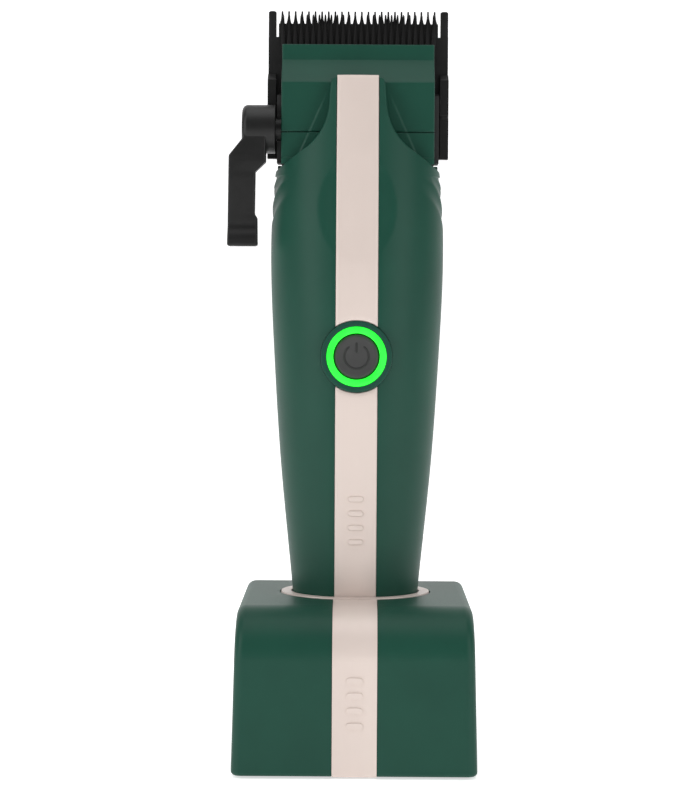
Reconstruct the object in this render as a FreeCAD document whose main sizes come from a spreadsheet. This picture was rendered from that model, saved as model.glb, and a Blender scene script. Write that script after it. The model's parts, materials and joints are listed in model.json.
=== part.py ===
import FreeCAD, Part
import os
import re

import Sketcher

# Hair clipper standing in its charging stand. Millimetres, +Z up, -Y is the front. The origin is on
# the table, under the long axis of the clipper, which runs straight up along +Z.

SIZES = {
    # stand casing
    "stand_width": 59.2,
    "stand_front": 38.8,
    "stand_back": 24.0,
    "stand_height": 40.3,
    "stand_draft": 1.0,
    "stand_curve": 12.0,
    "corner_round": 2.4,
    "base_round": 1.0,
    "stand_wall": 2.4,
    "foot_drop": 0.6,
    "foot_radius": 4.0,
    "foot_recess": 0.8,
    "foot_inset": 8.0,
    "cover_thick": 2.0,
    "cover_gap": 0.1,
    "screw_inset_side": 6.6,
    "screw_inset_back": 18.0,
    "post_radius": 3.0,
    # inlaid stripes
    "stand_stripe_width": 10.75,
    "stripe_width": 10.4,
    "stripe_thick": 1.2,
    "stripe_groove": 0.12,
    "bar_proud": 0.3,
    "bar_width": 3.9,
    "bar_radius": 0.75,
    "bar_pitch": 3.6,
    "bar_length": 1.0,
    "stand_bar_low": 12.9,
    "clipper_bar_low": 54.4,
    # socket for the clipper
    "ring_band": 2.8,
    "ring_thick": 1.2,
    "ring_proud": 0.25,
    "socket_gap": 0.4,
    "cup_wall": 1.6,
    "cup_base": 1.6,
    # clipper casing, half sizes of its oval section at rising heights
    "butt_height": 22.0,
    "butt_wide": 14.4,
    "butt_deep": 12.2,
    "rim_height": 40.3,
    "rim_wide": 15.9,
    "rim_deep": 13.7,
    "low_height": 72.0,
    "low_wide": 19.0,
    "low_deep": 16.8,
    "waist_height": 100.6,
    "waist_wide": 20.9,
    "waist_deep": 19.0,
    "grip_height": 126.0,
    "grip_wide": 21.85,
    "grip_deep": 18.6,
    "shoulder_height": 148.5,
    "shoulder_wide": 20.6,
    "shoulder_deep": 15.4,
    "neck_rise": 1.8,
    "neck_wide": 16.5,
    "neck_proud": 2.6,
    "neck_half": 6.7,
    "neck_spread": 7.8,
    "neck_corner_rise": 7.5,
    "neck_flare": 14.5,
    "shoulder_fall": 4.6,
    "shoulder_reach": 25.0,
    "casing_wall": 2.2,
    "parting_gap": 0.1,
    "dimple_height": 137.2,
    "dimple_wide": 9.5,
    "dimple_tall": 12.8,
    "dimple_deep": 0.6,
    "rib_radius": 3.4,
    "rib_pitch": 5.3,
    "rib_low": 134.8,
    "rib_depth": 0.45,
    "rib_tilt": -40.0,
    # power button
    "bezel_band": 1.43,
    "lamp_radius": 7.4,
    "lamp_band": 1.67,
    "cap_gap": 0.27,
    "cap_thick": 1.6,
    "cap_recess": 0.35,
    "lamp_thick": 2.4,
    "press_travel": 0.6,
    # inside the clipper
    "cell_radius": 9.2,
    "cell_low": 34.0,
    "cell_length": 65.0,
    "chassis_wall": 1.3,
    "motor_radius": 12.0,
    "motor_gap": 7.0,
    "switch_room": 5.4,
    "motor_length": 33.0,
    "shaft_radius": 1.5,
    "shaft_proud": 2.1,
    "running_gap": 0.05,
    "crank_throw": 1.0,
    "crank_pin_radius": 0.8,
    "board_thick": 1.4,
    "board_half": 7.0,
    "board_low": 60.0,
    "board_gap": 0.4,
    "case_screw_low": 60.0,
    "case_screw_high": 118.0,
    "case_screw_in": 2.9,
    "case_post_radius": 1.7,
    "screw_radius": 1.0,
    "screw_head_radius": 2.0,
    "screw_head_thick": 1.4,
    # head
    "lid_half": 19.2,
    "lid_rise": 8.2,
    "lid_face": 6.6,
    "lid_face_height": 12.2,
    "lid_slope_height": 6.3,
    "lid_lip_face": 1.6,
    "lid_lip_height": 3.9,
    "lid_back": 2.4,
    "lid_wall": 1.5,
    "seam_gap": 0.15,
    "collar_rise": 1.7,
    "cheek_proud": 1.2,
    "frame_sink": 2.3,
    "frame_wall_reach": 1.8,
    "frame_rear": 7.6,
    "frame_cheek": 1.1,
    "fork_gap": 0.3,
    "fork_thick": 2.5,
    # blades
    "blade_tall": 28.5,
    "blade_thick": 2.4,
    "blade_proud": 9.4,
    "tooth_length": 3.3,
    "tooth_pitch": 1.70,
    "tooth_gap_low": 0.5,
    "tooth_gap_high": 1.1,
    "tip_thick": 0.5,
    "corner_width": 1.9,
    "cutter_proud": 0.5,
    "cutter_thick": 1.7,
    "tip_lead": 0.9,
    "cutter_tooth_length": 8.2,
    "cutter_pitch": 1.57,
    "cutter_gap_low": 0.45,
    "cutter_gap_high": 1.0,
    "blade_slip": 0.05,
    "taper_travel": 1.6,
    "yoke_thick": 1.1,
    # blade carriage
    "carriage_gap": 0.4,
    "blade_overlap": 7.2,
    "carriage_thick": 2.2,
    "arm_gap": 0.5,
    "arm_thick": 2.2,
    "arm_rise": 5.2,
    "arm_slope": 1.6,
    "arm_notch": 0.3,
    "arm_notch_height": 10.8,
    "blade_screw_x": 11.0,
    # taper lever
    "lever_y": 2.6,
    "lever_rise": 0.8,
    "hub_radius": 6.1,
    "hub_gap": 0.3,
    "hub_length": 8.45,
    "cam_throw": 1.85,
    "cam_pin_radius": 1.0,
    "cam_slot_gap": 0.25,
    "cam_shaft_radius": 2.6,
    "cam_flange": 0.3,
    "cam_clear": 0.35,
    "lever_proud": 3.53,
    "lever_width": 7.0,
    "lever_length": 29.6,
    "lever_thick": 5.0,
    # charging parts
    "pin_spacing": 6.0,
    "pin_radius": 0.9,
    "pin_travel": 0.6,
    "barrel_radius": 1.5,
    "stand_board_low": 9.0,
    "inlet_width": 8.9,
    "inlet_height": 3.2,
    "inlet_depth": 7.3,
    "inlet_lift": 0.4,
    "ballast_thick": 3.5,
}

# Sizes and places that follow from the ones above.
DERIVED = {
    # stand
    "stand_screw_x": "(stand_width/2 - screw_inset_side)",
    "stand_screw_front": "(stand_front - stand_curve - post_radius - 0.3)",
    "stand_screw_back": "(stand_back - screw_inset_back)",
    "ring_wide": "(rim_wide + socket_gap + ring_band)",
    "ring_deep": "(rim_deep + socket_gap + ring_band)",
    "cup_floor": "(butt_height - cup_base)",
    "inlet_z": "(stand_board_low + board_thick + inlet_lift + inlet_height/2)",
    # button
    "bezel_radius": "(lamp_radius + bezel_band)",
    "lamp_inner": "(lamp_radius - lamp_band)",
    "cap_radius": "(lamp_inner - cap_gap)",
    # inside the clipper
    "motor_low": "max(cell_low + cell_length + motor_gap; waist_height + switch_room)",
    "board_back": "(cell_radius + board_gap)",
    "board_high": "(motor_low - chassis_wall - 0.7)",
    # head, stacked upwards from the shoulder
    "frame_low": "(shoulder_height - frame_sink)",
    "collar_low": "(shoulder_height + collar_rise)",
    "lid_low": "(shoulder_height + lid_rise)",
    "lid_break": "(lid_low + lid_face_height)",
    "lid_lip_low": "(lid_break + lid_slope_height)",
    "lid_top": "(lid_lip_low + lid_lip_height)",
    "neck_height": "(lid_break + neck_rise)",
    "neck_deep": "(lid_face + neck_proud)",
    "neck_corner": "(shoulder_height + neck_corner_rise)",
    "shoulder_drop": "(shoulder_height - shoulder_fall)",
    "tip_height": "(lid_top + blade_proud)",
    "blade_low": "(tip_height - blade_tall)",
    "tooth_root": "(tip_height - tooth_length)",
    "cutter_tip": "(tip_height - tip_lead)",
    "cutter_root": "(cutter_tip - cutter_tooth_length)",
    "carriage_top": "(blade_low + blade_overlap)",
    "carriage_low": "(collar_low + carriage_gap)",
    "arm_top": "(carriage_top + arm_rise)",
    "frame_top": "(carriage_top - 1.2)",
    "cutter_low": "(carriage_top + taper_travel + carriage_gap)",
    "blade_screw_z": "(blade_low + blade_overlap/2)",
    # head, from the middle outwards
    "frame_half": "(lid_half + cheek_proud)",
    "fork_outer": "(lid_half - lid_wall - fork_gap)",
    "fork_inner": "(fork_outer - fork_thick)",
    "cutter_half": "(lid_half + cutter_proud)",
    "arm_inner": "(frame_half + arm_gap)",
    "arm_outer": "(arm_inner + arm_thick)",
    "blade_half": "(arm_outer - 0.1)",
    "hub_inner": "(frame_half + hub_gap)",
    "hub_outer": "(hub_inner + hub_length)",
    "lever_outer": "(hub_outer + lever_proud)",
    "lever_inner": "(lever_outer - lever_width)",
    # head, from the front backwards
    "frame_back": "(lid_back + frame_wall_reach)",
    "carriage_front": "(max(frame_back; hub_radius - lever_y) + carriage_gap)",
    "blade_front": "(carriage_front + carriage_thick)",
    "arm_front": "(hub_radius - lever_y + carriage_gap)",
    "lever_z": "(lid_low + lever_rise)",
    "lever_low": "(lever_z - lever_length)",
    "lever_front": "(lever_y + hub_radius - 0.1)",
}

doc = FreeCAD.newDocument("hair_clipper")
sheet = doc.addObject("Spreadsheet::Sheet", "dims")
for row, (name, value) in enumerate(SIZES.items(), 1):
    sheet.set(f"A{row}", name)
    sheet.set(f"B{row}", str(value))
    sheet.setAlias(f"B{row}", name)
doc.recompute()

UP = FreeCAD.Vector(0, 0, 1)
ALONG_X = FreeCAD.Rotation(FreeCAD.Vector(0, 1, 0), 90)
ALONG_Y = FreeCAD.Rotation(FreeCAD.Vector(1, 0, 0), -90)
EXPORTED = []


def tied(formula):
    """A formula of named sizes, written the way the document's expressions need it."""

    def prefixed(word):
        name = word.group()
        if name in DERIVED:
            return tied(DERIVED[name])
        return "dims." + name if name in SIZES else name

    return re.sub(r"[a-z_][a-z0-9_]*", prefixed, str(formula))


def value_of(formula):
    return float(sheet.evalExpression(tied(formula)))


def bind(item, **formulas):
    """Ties properties of an object to the sheet; x, y and z are its position."""
    for key, formula in formulas.items():
        path = "Placement.Base." + key if key in ("x", "y", "z") else key
        item.setExpression(path, tied(formula))
    return item


def node(item, label):
    """Marks an object as a finished piece of the product, with the name of its file."""
    item.Label = label
    EXPORTED.append(item)
    return item


# ---- Part primitives and booleans -------------------------------------------------------------


def box(name, low, high):
    """A box between two corners given as formulas."""
    item = doc.addObject("Part::Box", name)
    spans = [f"({b}) - ({a})" for a, b in zip(low, high)]
    return bind(item, x=low[0], y=low[1], z=low[2], Length=spans[0], Width=spans[1], Height=spans[2])


def cylinder(name, radius, length, x="0", y="0", z="0", turn=None):
    item = doc.addObject("Part::Cylinder", name)
    if turn is not None:
        item.Placement = FreeCAD.Placement(FreeCAD.Vector(), turn)
    return bind(item, Radius=radius, Height=length, x=x, y=y, z=z)


def cut(name, base, *tools):
    item = doc.addObject("Part::Cut", name)
    item.Base = base
    item.Tool = tools[0] if len(tools) == 1 else fuse(name + "_tools", *tools)
    return item


def fuse(name, *shapes):
    item = doc.addObject("Part::MultiFuse", name)
    item.Shapes = list(shapes)
    return item


def common(name, *shapes):
    item = doc.addObject("Part::MultiCommon", name)
    item.Shapes = list(shapes)
    return item


def oval(name, wide, deep, height):
    item = doc.addObject("Part::Ellipse", name)
    return bind(item, MajorRadius=wide, MinorRadius=deep, z=height)


def oval_block(name, sections):
    """A smooth solid through oval sections, each (half width, half depth, height)."""
    rings = [oval(f"{name}_{i}", *section) for i, section in enumerate(sections)]
    item = doc.addObject("Part::Loft", name)
    item.Sections = rings
    item.Solid = True
    item.Ruled = len(rings) == 2
    return item


# ---- PartDesign bodies ------------------------------------------------------------------------


def new_body(name):
    return doc.addObject("PartDesign::Body", name)


def plane_of(body, role):
    return next(item for item in body.Origin.OriginFeatures if item.Role == role)


def sketch_on(body, name, role, offset="0"):
    """A sketch on one of the body's origin planes, moved along the plane's normal."""
    sketch = body.newObject("Sketcher::SketchObject", name)
    sketch.AttachmentSupport = (plane_of(body, role), [""])
    sketch.MapMode = "FlatFace"
    return bind(sketch, **{"AttachmentOffset.Base.z": offset})


def tie_point(sketch, shape, point, corner):
    for kind, formula in zip(("DistanceX", "DistanceY"), corner):
        rule = Sketcher.Constraint(kind, -1, 1, shape, point, value_of(formula))
        bind(sketch, **{f"Constraints[{sketch.addConstraint(rule)}]": formula})


def outline(body, name, role, corners, offset="0"):
    """A closed outline of straight lines whose corners are all tied to the sheet."""
    sketch = sketch_on(body, name, role, offset)
    spots = [FreeCAD.Vector(value_of(a), value_of(b), 0) for a, b in corners]
    count = len(spots)
    for i in range(count):
        sketch.addGeometry(Part.LineSegment(spots[i], spots[(i + 1) % count]), False)
    for i in range(count):
        sketch.addConstraint(Sketcher.Constraint("Coincident", i, 2, (i + 1) % count, 1))
        tie_point(sketch, i, 1, corners[i])
    return sketch


def rectangle(body, name, role, low, high, offset="0"):
    corners = [(low[0], low[1]), (high[0], low[1]), (high[0], high[1]), (low[0], high[1])]
    return outline(body, name, role, corners, offset)


def discs(body, name, role, centres, radius, offset="0"):
    """One or more circles of the same radius."""
    sketch = sketch_on(body, name, role, offset)
    for i, centre in enumerate(centres):
        spot = FreeCAD.Vector(value_of(centre[0]), value_of(centre[1]), 0)
        sketch.addGeometry(Part.Circle(spot, UP, value_of(radius)), False)
        rule = sketch.addConstraint(Sketcher.Constraint("Radius", i, value_of(radius)))
        bind(sketch, **{f"Constraints[{rule}]": radius})
        tie_point(sketch, i, 3, centre)
    return sketch


def pad(body, name, sketch, length, midplane=False, backwards=False):
    item = body.newObject("PartDesign::Pad", name)
    item.Profile = sketch
    item.SideType = "Symmetric" if midplane else "One side"
    item.Reversed = backwards
    return bind(item, Length=length)


def pocket(body, name, sketch, length, midplane=False, backwards=False):
    """Cuts away and makes sure that something was cut."""
    doc.recompute()
    before = body.Shape.Volume
    item = body.newObject("PartDesign::Pocket", name)
    item.Profile = sketch
    item.SideType = "Symmetric" if midplane else "One side"
    item.Reversed = backwards
    bind(item, Length=length)
    doc.recompute()
    if not body.Shape.Volume < before - 1e-6:
        raise ValueError(f"{name} cuts nothing")
    return item


def edge_names(shape, wanted):
    return [f"Edge{i}" for i, edge in enumerate(shape.Edges, 1) if wanted(edge)]


def rounded(body, name, radius, wanted, kind="Fillet"):
    """Fillets or chamfers the edges of the body's last feature that a test picks out."""
    doc.recompute()
    base = body.Tip
    names = edge_names(base.Shape, wanted)
    if not names:
        raise ValueError(f"{name} finds no edges")
    item = body.newObject("PartDesign::" + kind, name)
    item.Base = (base, names)
    bind(item, **{"Radius" if kind == "Fillet" else "Size": radius})
    doc.recompute()
    return item


def repeated(body, name, feature, axis_role, length, count):
    """The feature again and again along one of the body's axes."""
    item = body.newObject("PartDesign::LinearPattern", name)
    item.Originals = [feature]
    item.Direction = (plane_of(body, axis_role), [""])
    item.Occurrences = count
    bind(item, Length=length)
    body.Tip = item
    return item


def spans(edge, axis):
    """How far an edge reaches along x, y or z."""
    return {"x": edge.BoundBox.XLength, "y": edge.BoundBox.YLength, "z": edge.BoundBox.ZLength}[axis]


# ---- stand ------------------------------------------------------------------------------------


def build_stand_block():
    """The outer form of the stand, hollow underneath, with drafted sides and a big front curve."""
    body = new_body("stand_block")
    corners = [("-stand_width/2", "foot_drop"), ("stand_width/2", "foot_drop"),
               ("stand_width/2 - stand_draft", "stand_height"),
               ("-stand_width/2 + stand_draft", "stand_height")]
    pad(body, "block", outline(body, "block_front", "XZ_Plane", corners, "-stand_back"),
        "stand_front + stand_back")
    top = value_of("stand_height")
    floor = value_of("foot_drop")
    front = -value_of("stand_front")
    side = value_of("stand_width/2 - stand_draft") - 0.1
    rounded(body, "front_curve", "stand_curve",
            lambda e: e.BoundBox.ZMin > top - 0.01 and e.BoundBox.YMax < front + 0.1)
    rounded(body, "corners", "corner_round", lambda e: e.BoundBox.ZMax > floor + 1
            and (abs(e.BoundBox.Center.x) > side or e.BoundBox.YMin > value_of("stand_back") - 0.1))
    rounded(body, "base_edges", "base_round", lambda e: e.BoundBox.ZMax < floor + 0.1)
    return body


def build_stand_hollow():
    """The room inside the stand, open at the bottom, which follows the front curve."""
    body = new_body("stand_hollow")
    side = rectangle(body, "hollow_side", "YZ_Plane", ("-stand_front + stand_wall", "0"),
                     ("stand_back - stand_wall", "stand_height - stand_wall"))
    pad(body, "hollow", side, "stand_width - 2*stand_wall - 2*stand_draft", midplane=True)
    roof = value_of("stand_height - stand_wall")
    rounded(body, "hollow_curve", "stand_curve - stand_wall", lambda e: e.BoundBox.ZMin > roof - 0.1
            and spans(e, "x") > 5 and e.BoundBox.YMax < -value_of("stand_front") + 5)
    return body


def stripe_strip(name, half_width, depth, proud):
    """The strip that runs over the stand's top, down the front curve and down the front."""
    body = new_body(name)
    face = f"-stand_front - {proud}"
    back = f"-stand_front + {depth}"
    corners = [(face, "foot_drop"), (face, f"stand_height + {proud}"), ("0", f"stand_height + {proud}"),
               ("0", f"stand_height - {depth}"), (back, f"stand_height - {depth}"), (back, "foot_drop")]
    pad(body, name + "_strip", outline(body, name + "_side", "YZ_Plane", corners), f"2*({half_width})",
        midplane=True)
    outer = value_of(f"stand_height + {proud}")
    rounded(body, name + "_curve", f"stand_curve + {proud}", lambda e: spans(e, "x") > 5
            and e.BoundBox.ZMin > outer - 0.1 and e.BoundBox.YMax < -10)
    low = value_of(f"stand_height - {depth}")
    rounded(body, name + "_inner_curve", f"stand_curve - {depth}", lambda e: spans(e, "x") > 5
            and abs(e.BoundBox.Center.z - low) < 0.1 and e.BoundBox.YMax < -10)
    return body


def pill_column(name, low, face_at):
    """Four short raised pills in a column, each standing out from the strip's face at its height."""
    pills = []
    for i in range(4):
        height = f"({low} + {i}*bar_pitch)"
        face = face_at(height)
        ends = [cylinder(f"{name}_{side}_{i}", "bar_radius", "bar_length",
                         f"{sign}*(bar_width/2 - bar_radius)", face,
                         height, ALONG_Y) for side, sign in (("left", "-1"), ("right", "1"))]
        middle = box(f"{name}_middle_{i}", ("-bar_width/2 + bar_radius", face, f"{height} - bar_radius"),
                     ("bar_width/2 - bar_radius", f"{face} + bar_length", f"{height} + bar_radius"))
        pills.append(fuse(f"{name}_{i}", middle, *ends))
    return pills


def taper_oval(extra, low, high):
    """The taper of the clipper's lower end, grown by a margin, between two heights."""
    sections = []
    for height in (low, high):
        share = f"(({height} - butt_height) / (rim_height - butt_height))"
        sections.append((f"butt_wide + (rim_wide - butt_wide)*{share} + {extra}",
                         f"butt_deep + (rim_deep - butt_deep)*{share} + {extra}", height))
    return sections


COVER_TOP = "foot_drop + cover_thick"
SCREW_SPOTS = [(side + "stand_screw_x", y) for side in ("-", "")
               for y in ("-stand_screw_front", "stand_screw_back")]
PIN_SPOTS = {"left": "-pin_spacing/2", "right": "pin_spacing/2"}
FOOT_SPOTS = [("0", "0")] + [(f"{side}*(stand_width/2 - foot_inset)", y) for side in ("-1", "1")
                             for y in ("-stand_front + foot_inset", "stand_back - foot_inset")]


def build_stand():
    block = build_stand_block()
    channel = stripe_strip("stripe_channel", "stand_stripe_width/2 + stripe_groove", "stripe_thick", "0.5")
    strip = stripe_strip("stripe_strip", "stand_stripe_width/2", "stripe_thick", "0")
    well = oval_block("socket_well", taper_oval("socket_gap + cup_wall + 0.1", "cup_floor - 2",
                                                "stand_height + 1"))
    seat = oval_block("ring_seat", [("ring_wide + 0.1", "ring_deep + 0.1", "stand_height - ring_thick"),
                                    ("ring_wide + 0.1", "ring_deep + 0.1", "stand_height + 2")])
    slot = box("inlet_slot", ("-inlet_width/2 - 0.1", "stand_back - 6", "inlet_z - inlet_height/2 - 0.1"),
               ("inlet_width/2 + 0.1", "stand_back + 1", "inlet_z + inlet_height/2 + 0.1"))
    rim = "(1.2 + stand_draft)"
    cover_seat = box("cover_seat", (f"-stand_width/2 + {rim}", f"-stand_front + {rim}", "0"),
                     (f"stand_width/2 - {rim}", f"stand_back - {rim}", COVER_TOP))
    posts = [cylinder(f"stand_post_{i}", "post_radius", f"stand_height - stand_wall + 0.4 - ({COVER_TOP})",
                      x, y,
                      COVER_TOP) for i, (x, y) in enumerate(SCREW_SPOTS)]
    bores = [cylinder(f"stand_post_bore_{i}", "screw_radius", "9", x, y, "0")
             for i, (x, y) in enumerate(SCREW_SPOTS)]
    hollowed = cut("stand_hollowed", block, build_stand_hollow(), well, seat, slot, cover_seat, channel)
    node(cut("stand_shell_body", fuse("stand_posted", hollowed, *posts), *bores), "stand_shell")

    pills = pill_column("stand_pill", "stand_bar_low", lambda height: "(-stand_front - bar_proud)")
    ring_clear = oval_block("ring_clear", [("ring_wide + 0.1", "ring_deep + 0.1",
                                            "stand_height - stripe_thick - 1"),
                                           ("ring_wide + 0.1", "ring_deep + 0.1", "stand_height + 2")])
    node(fuse("stand_stripe_body", cut("stripe_trimmed", strip, ring_clear), *pills), "stand_stripe")

    ring_outer = oval_block("ring_outer", [("ring_wide", "ring_deep", "stand_height - ring_thick"),
                                           ("ring_wide - 0.3", "ring_deep - 0.3",
                                            "stand_height + ring_proud")])
    ring_hole = oval_block("ring_hole", taper_oval("socket_gap", "stand_height - ring_thick - 1",
                                                   "stand_height + 1"))
    node(cut("socket_ring_body", ring_outer, ring_hole), "socket_ring")

    cup_outer = oval_block("cup_outer", taper_oval("socket_gap + cup_wall", "cup_floor",
                                                   "stand_height - ring_thick"))
    cup_inner = oval_block("cup_inner", taper_oval("socket_gap", "butt_height", "stand_height + 1"))
    pin_holes = [cylinder(f"cup_pin_hole_{side}", "pin_radius + running_gap", "4", x, "0", "cup_floor - 1")
                 for side, x in PIN_SPOTS.items()]
    node(cut("socket_cup_body", cup_outer, cup_inner, *pin_holes), "socket_cup")


def build_stand_base():
    """Cover, feet, screws and weight that close the stand from below."""
    body = new_body("cover_plate")
    inset = "(1.2 + stand_draft + cover_gap)"
    plate = rectangle(body, "cover_outline", "XY_Plane", (f"-stand_width/2 + {inset}",
                                                          f"-stand_front + {inset}"),
                      (f"stand_width/2 - {inset}", f"stand_back - {inset}"), "foot_drop")
    pad(body, "cover_pad", plate, "cover_thick")
    pocket(body, "foot_seats", discs(body, "foot_seat_discs", "XY_Plane", FOOT_SPOTS,
                                     "foot_radius + cover_gap",
                                     "foot_drop"), "foot_recess", backwards=True)
    pocket(body, "cover_holes", discs(body, "cover_hole_discs", "XY_Plane", SCREW_SPOTS, "screw_radius + 0.1",
                                      "foot_drop"), "cover_thick", backwards=True)
    pocket(body, "head_seats", discs(body, "head_seat_discs", "XY_Plane", SCREW_SPOTS,
                                     "screw_head_radius + 0.1",
                                     "foot_drop"), "screw_head_thick", backwards=True)
    node(body, "stand_bottom_cover")

    feet = new_body("feet")
    pad(feet, "foot_pads", discs(feet, "foot_discs", "XY_Plane", FOOT_SPOTS, "foot_radius"),
        "foot_drop + foot_recess")
    rounded(feet, "foot_edges", "0.3", lambda e: e.BoundBox.ZMax < 0.01, "Chamfer")
    node(feet, "stand_feet")

    head_low = "foot_drop + 0.2"
    screws = []
    for i, (x, y) in enumerate(SCREW_SPOTS):
        shank = cylinder(f"stand_shank_{i}", "screw_radius - 0.02", "8", x, y, head_low)
        head = cylinder(f"stand_head_{i}", "screw_head_radius", "screw_head_thick - 0.2", x, y, head_low)
        screws.append(cut(f"stand_screw_{i}", fuse(f"stand_solid_{i}", shank, head),
                          *cross_slots(i, x, y, head_low)))
    node(fuse("stand_screw_set", *screws), "stand_screws")

    weight = new_body("weight")
    block = rectangle(weight, "weight_outline", "XY_Plane", ("-stand_screw_x + post_radius + 1",
                                                             "-stand_front + 6"),
                      ("stand_screw_x - post_radius - 1", "stand_back - 9"), COVER_TOP)
    pad(weight, "weight_pad", block, "ballast_thick")
    rounded(weight, "weight_corners", "2", lambda e: spans(e, "z") > 3)
    node(weight, "ballast_plate")


def cross_slots(i, x, y, low):
    """A cross recess for a driver in the underside of a screw head."""
    arm, half, deep = "1.2", "0.25", "0.6"
    return [box(f"slot_x_{i}", (f"{x} - {arm}", f"{y} - {half}", low), (f"{x} + {arm}", f"{y} + {half}",
                f"{low} + {deep}")),
            box(f"slot_y_{i}", (f"{x} - {half}", f"{y} - {arm}", low), (f"{x} + {half}", f"{y} + {arm}",
                f"{low} + {deep}"))]


def build_stand_charging():
    """Board, sprung pins and the inlet inside the stand."""
    board = new_body("stand_board")
    edge = rectangle(board, "stand_board_outline", "XY_Plane", ("-9", "-9"), ("9", "stand_back - 4"),
                     "stand_board_low")
    pad(board, "stand_board_pad", edge, "board_thick")
    node(board, "stand_circuit_board")
    props = [box(f"board_prop_{i}", (f"{x} - 1.5", f"{y} - 1.5", f"{COVER_TOP} + ballast_thick"),
                 (f"{x} + 1.5", f"{y} + 1.5", "stand_board_low"))
             for i, (x, y) in enumerate((("-7", "-7"), ("7", "-7"), ("-7", "12"), ("7", "12")))]
    node(fuse("board_props", *props), "board_pillars")

    board_top = "stand_board_low + board_thick"
    barrels = []
    for side, x in PIN_SPOTS.items():
        shell = cylinder(f"barrel_{side}", "barrel_radius", f"cup_floor - ({board_top})", x, "0", board_top)
        bore = cylinder(f"barrel_bore_{side}", "pin_radius + running_gap", "cup_floor", x, "0",
                        f"{board_top} + 1")
        barrels.append(cut(f"pin_barrel_{side}", shell, bore))
        plunger = cylinder(f"plunger_{side}", "pin_radius",
                           f"butt_height - ({board_top}) - 1 - pin_travel - 0.1", x, "0",
                           f"{board_top} + 1 + pin_travel + 0.1")
        node(plunger, f"charge_pin_{side}")
    node(fuse("pin_barrel_pair", *barrels), "pin_barrels")

    inlet = new_body("inlet")
    mouth = "stand_back"
    face = rectangle(inlet, "inlet_outline", "XZ_Plane", ("-inlet_width/2", "inlet_z - inlet_height/2"),
                     ("inlet_width/2", "inlet_z + inlet_height/2"), f"-{mouth}")
    pad(inlet, "inlet_block", face, "inlet_depth")
    rounded(inlet, "inlet_sides", "inlet_height/2 - 0.05", lambda e: spans(e, "y") > 5)
    hole = rectangle(inlet, "inlet_mouth", "XZ_Plane", ("-inlet_width/2 + 0.7",
                                                        "inlet_z - inlet_height/2 + 0.4"),
                     ("inlet_width/2 - 0.7", "inlet_z + inlet_height/2 - 0.4"), f"-{mouth}")
    pocket(inlet, "inlet_hole", hole, "inlet_depth - 1", backwards=True)
    node(inlet, "charging_inlet")
    prop_low = board_top
    node(box("inlet_prop", ("-3", f"{mouth} - inlet_depth + 0.5", prop_low), ("3", f"{mouth} - 3.4",
             "inlet_z - inlet_height/2")), "inlet_support")


# ---- clipper casing ---------------------------------------------------------------------------


def casing_form(name, inset="0"):
    """The clipper's oval outer form, or the same form a given thickness further in."""
    stages = ("butt", "rim", "low", "waist", "grip", "shoulder", "neck")
    return oval_block(name, [(f"{stage}_wide - ({inset})", f"{stage}_deep - ({inset})", f"{stage}_height")
                             for stage in stages])


def neck_prism():
    """Everything that the front casing may fill: its shoulders and the slim neck above them."""
    body = new_body("neck_prism")
    half = [("shoulder_reach", "0"), ("shoulder_reach", "shoulder_drop"), ("neck_spread", "neck_corner"),
            ("neck_half", "neck_height")]
    corners = half + [(f"-{x}", z) for x, z in reversed(half)]
    pad(body, "neck_outline_pad", outline(body, "neck_outline", "XZ_Plane", corners, "parting_gap/2"),
        "neck_height")
    rounded(body, "neck_flares", "neck_flare", lambda e: spans(e, "y") > 5
            and abs(e.BoundBox.Center.z - value_of("neck_corner")) < 0.1)
    rounded(body, "neck_tips", "1.2", lambda e: spans(e, "y") > 5
            and abs(e.BoundBox.Center.z - value_of("neck_height")) < 0.1)
    return body


def rib_cutters():
    """Three slanted round grooves across each upper side of the casing."""
    cutters = []
    for sign in (-1, 1):
        for i in range(3):
            item = doc.addObject("Part::Cylinder", f"rib_{'left' if sign < 0 else 'right'}_{i}")
            slant = FreeCAD.Rotation(FreeCAD.Vector(1, 0, 0), 90 + value_of("rib_tilt"))
            item.Placement = FreeCAD.Placement(FreeCAD.Vector(), slant)
            bind(item, Radius="rib_radius", Height="40", x=f"{sign}*(grip_wide + rib_radius - rib_depth)",
                 y="20*cos(rib_tilt)", z=f"rib_low + {i}*rib_pitch + 20*sin(rib_tilt)")
            cutters.append(item)
    return cutters


def thumb_dimple():
    item = doc.addObject("Part::Ellipsoid", "thumb_dimple")
    item.Angle1 = -90
    item.Angle2 = 90
    return bind(item, Radius1="dimple_tall", Radius2="dimple_wide", Radius3="3", z="dimple_height",
                y="-grip_deep - 3 + dimple_deep + 0.6")


def front_bore(name, radius, reach="14"):
    """A cylinder on the button's axis, from in front of the casing towards its middle."""
    return cylinder(name, radius, reach, "0", "-waist_deep - 2", "waist_height", ALONG_Y)


CASE_SCREWS = [(f"{side}*({wide} - casing_wall - case_screw_in)", z) for side in ("-1", "1")
               for wide, z in (("low_wide - 1.2", "case_screw_low"), ("grip_wide", "case_screw_high"))]


def taper_depth(height):
    """Half depth of the casing between its rim and its lower grip."""
    share = f"({height} - rim_height)/(low_height - rim_height)"
    return f"(rim_deep + (low_deep - rim_deep)*{share})"


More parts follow.
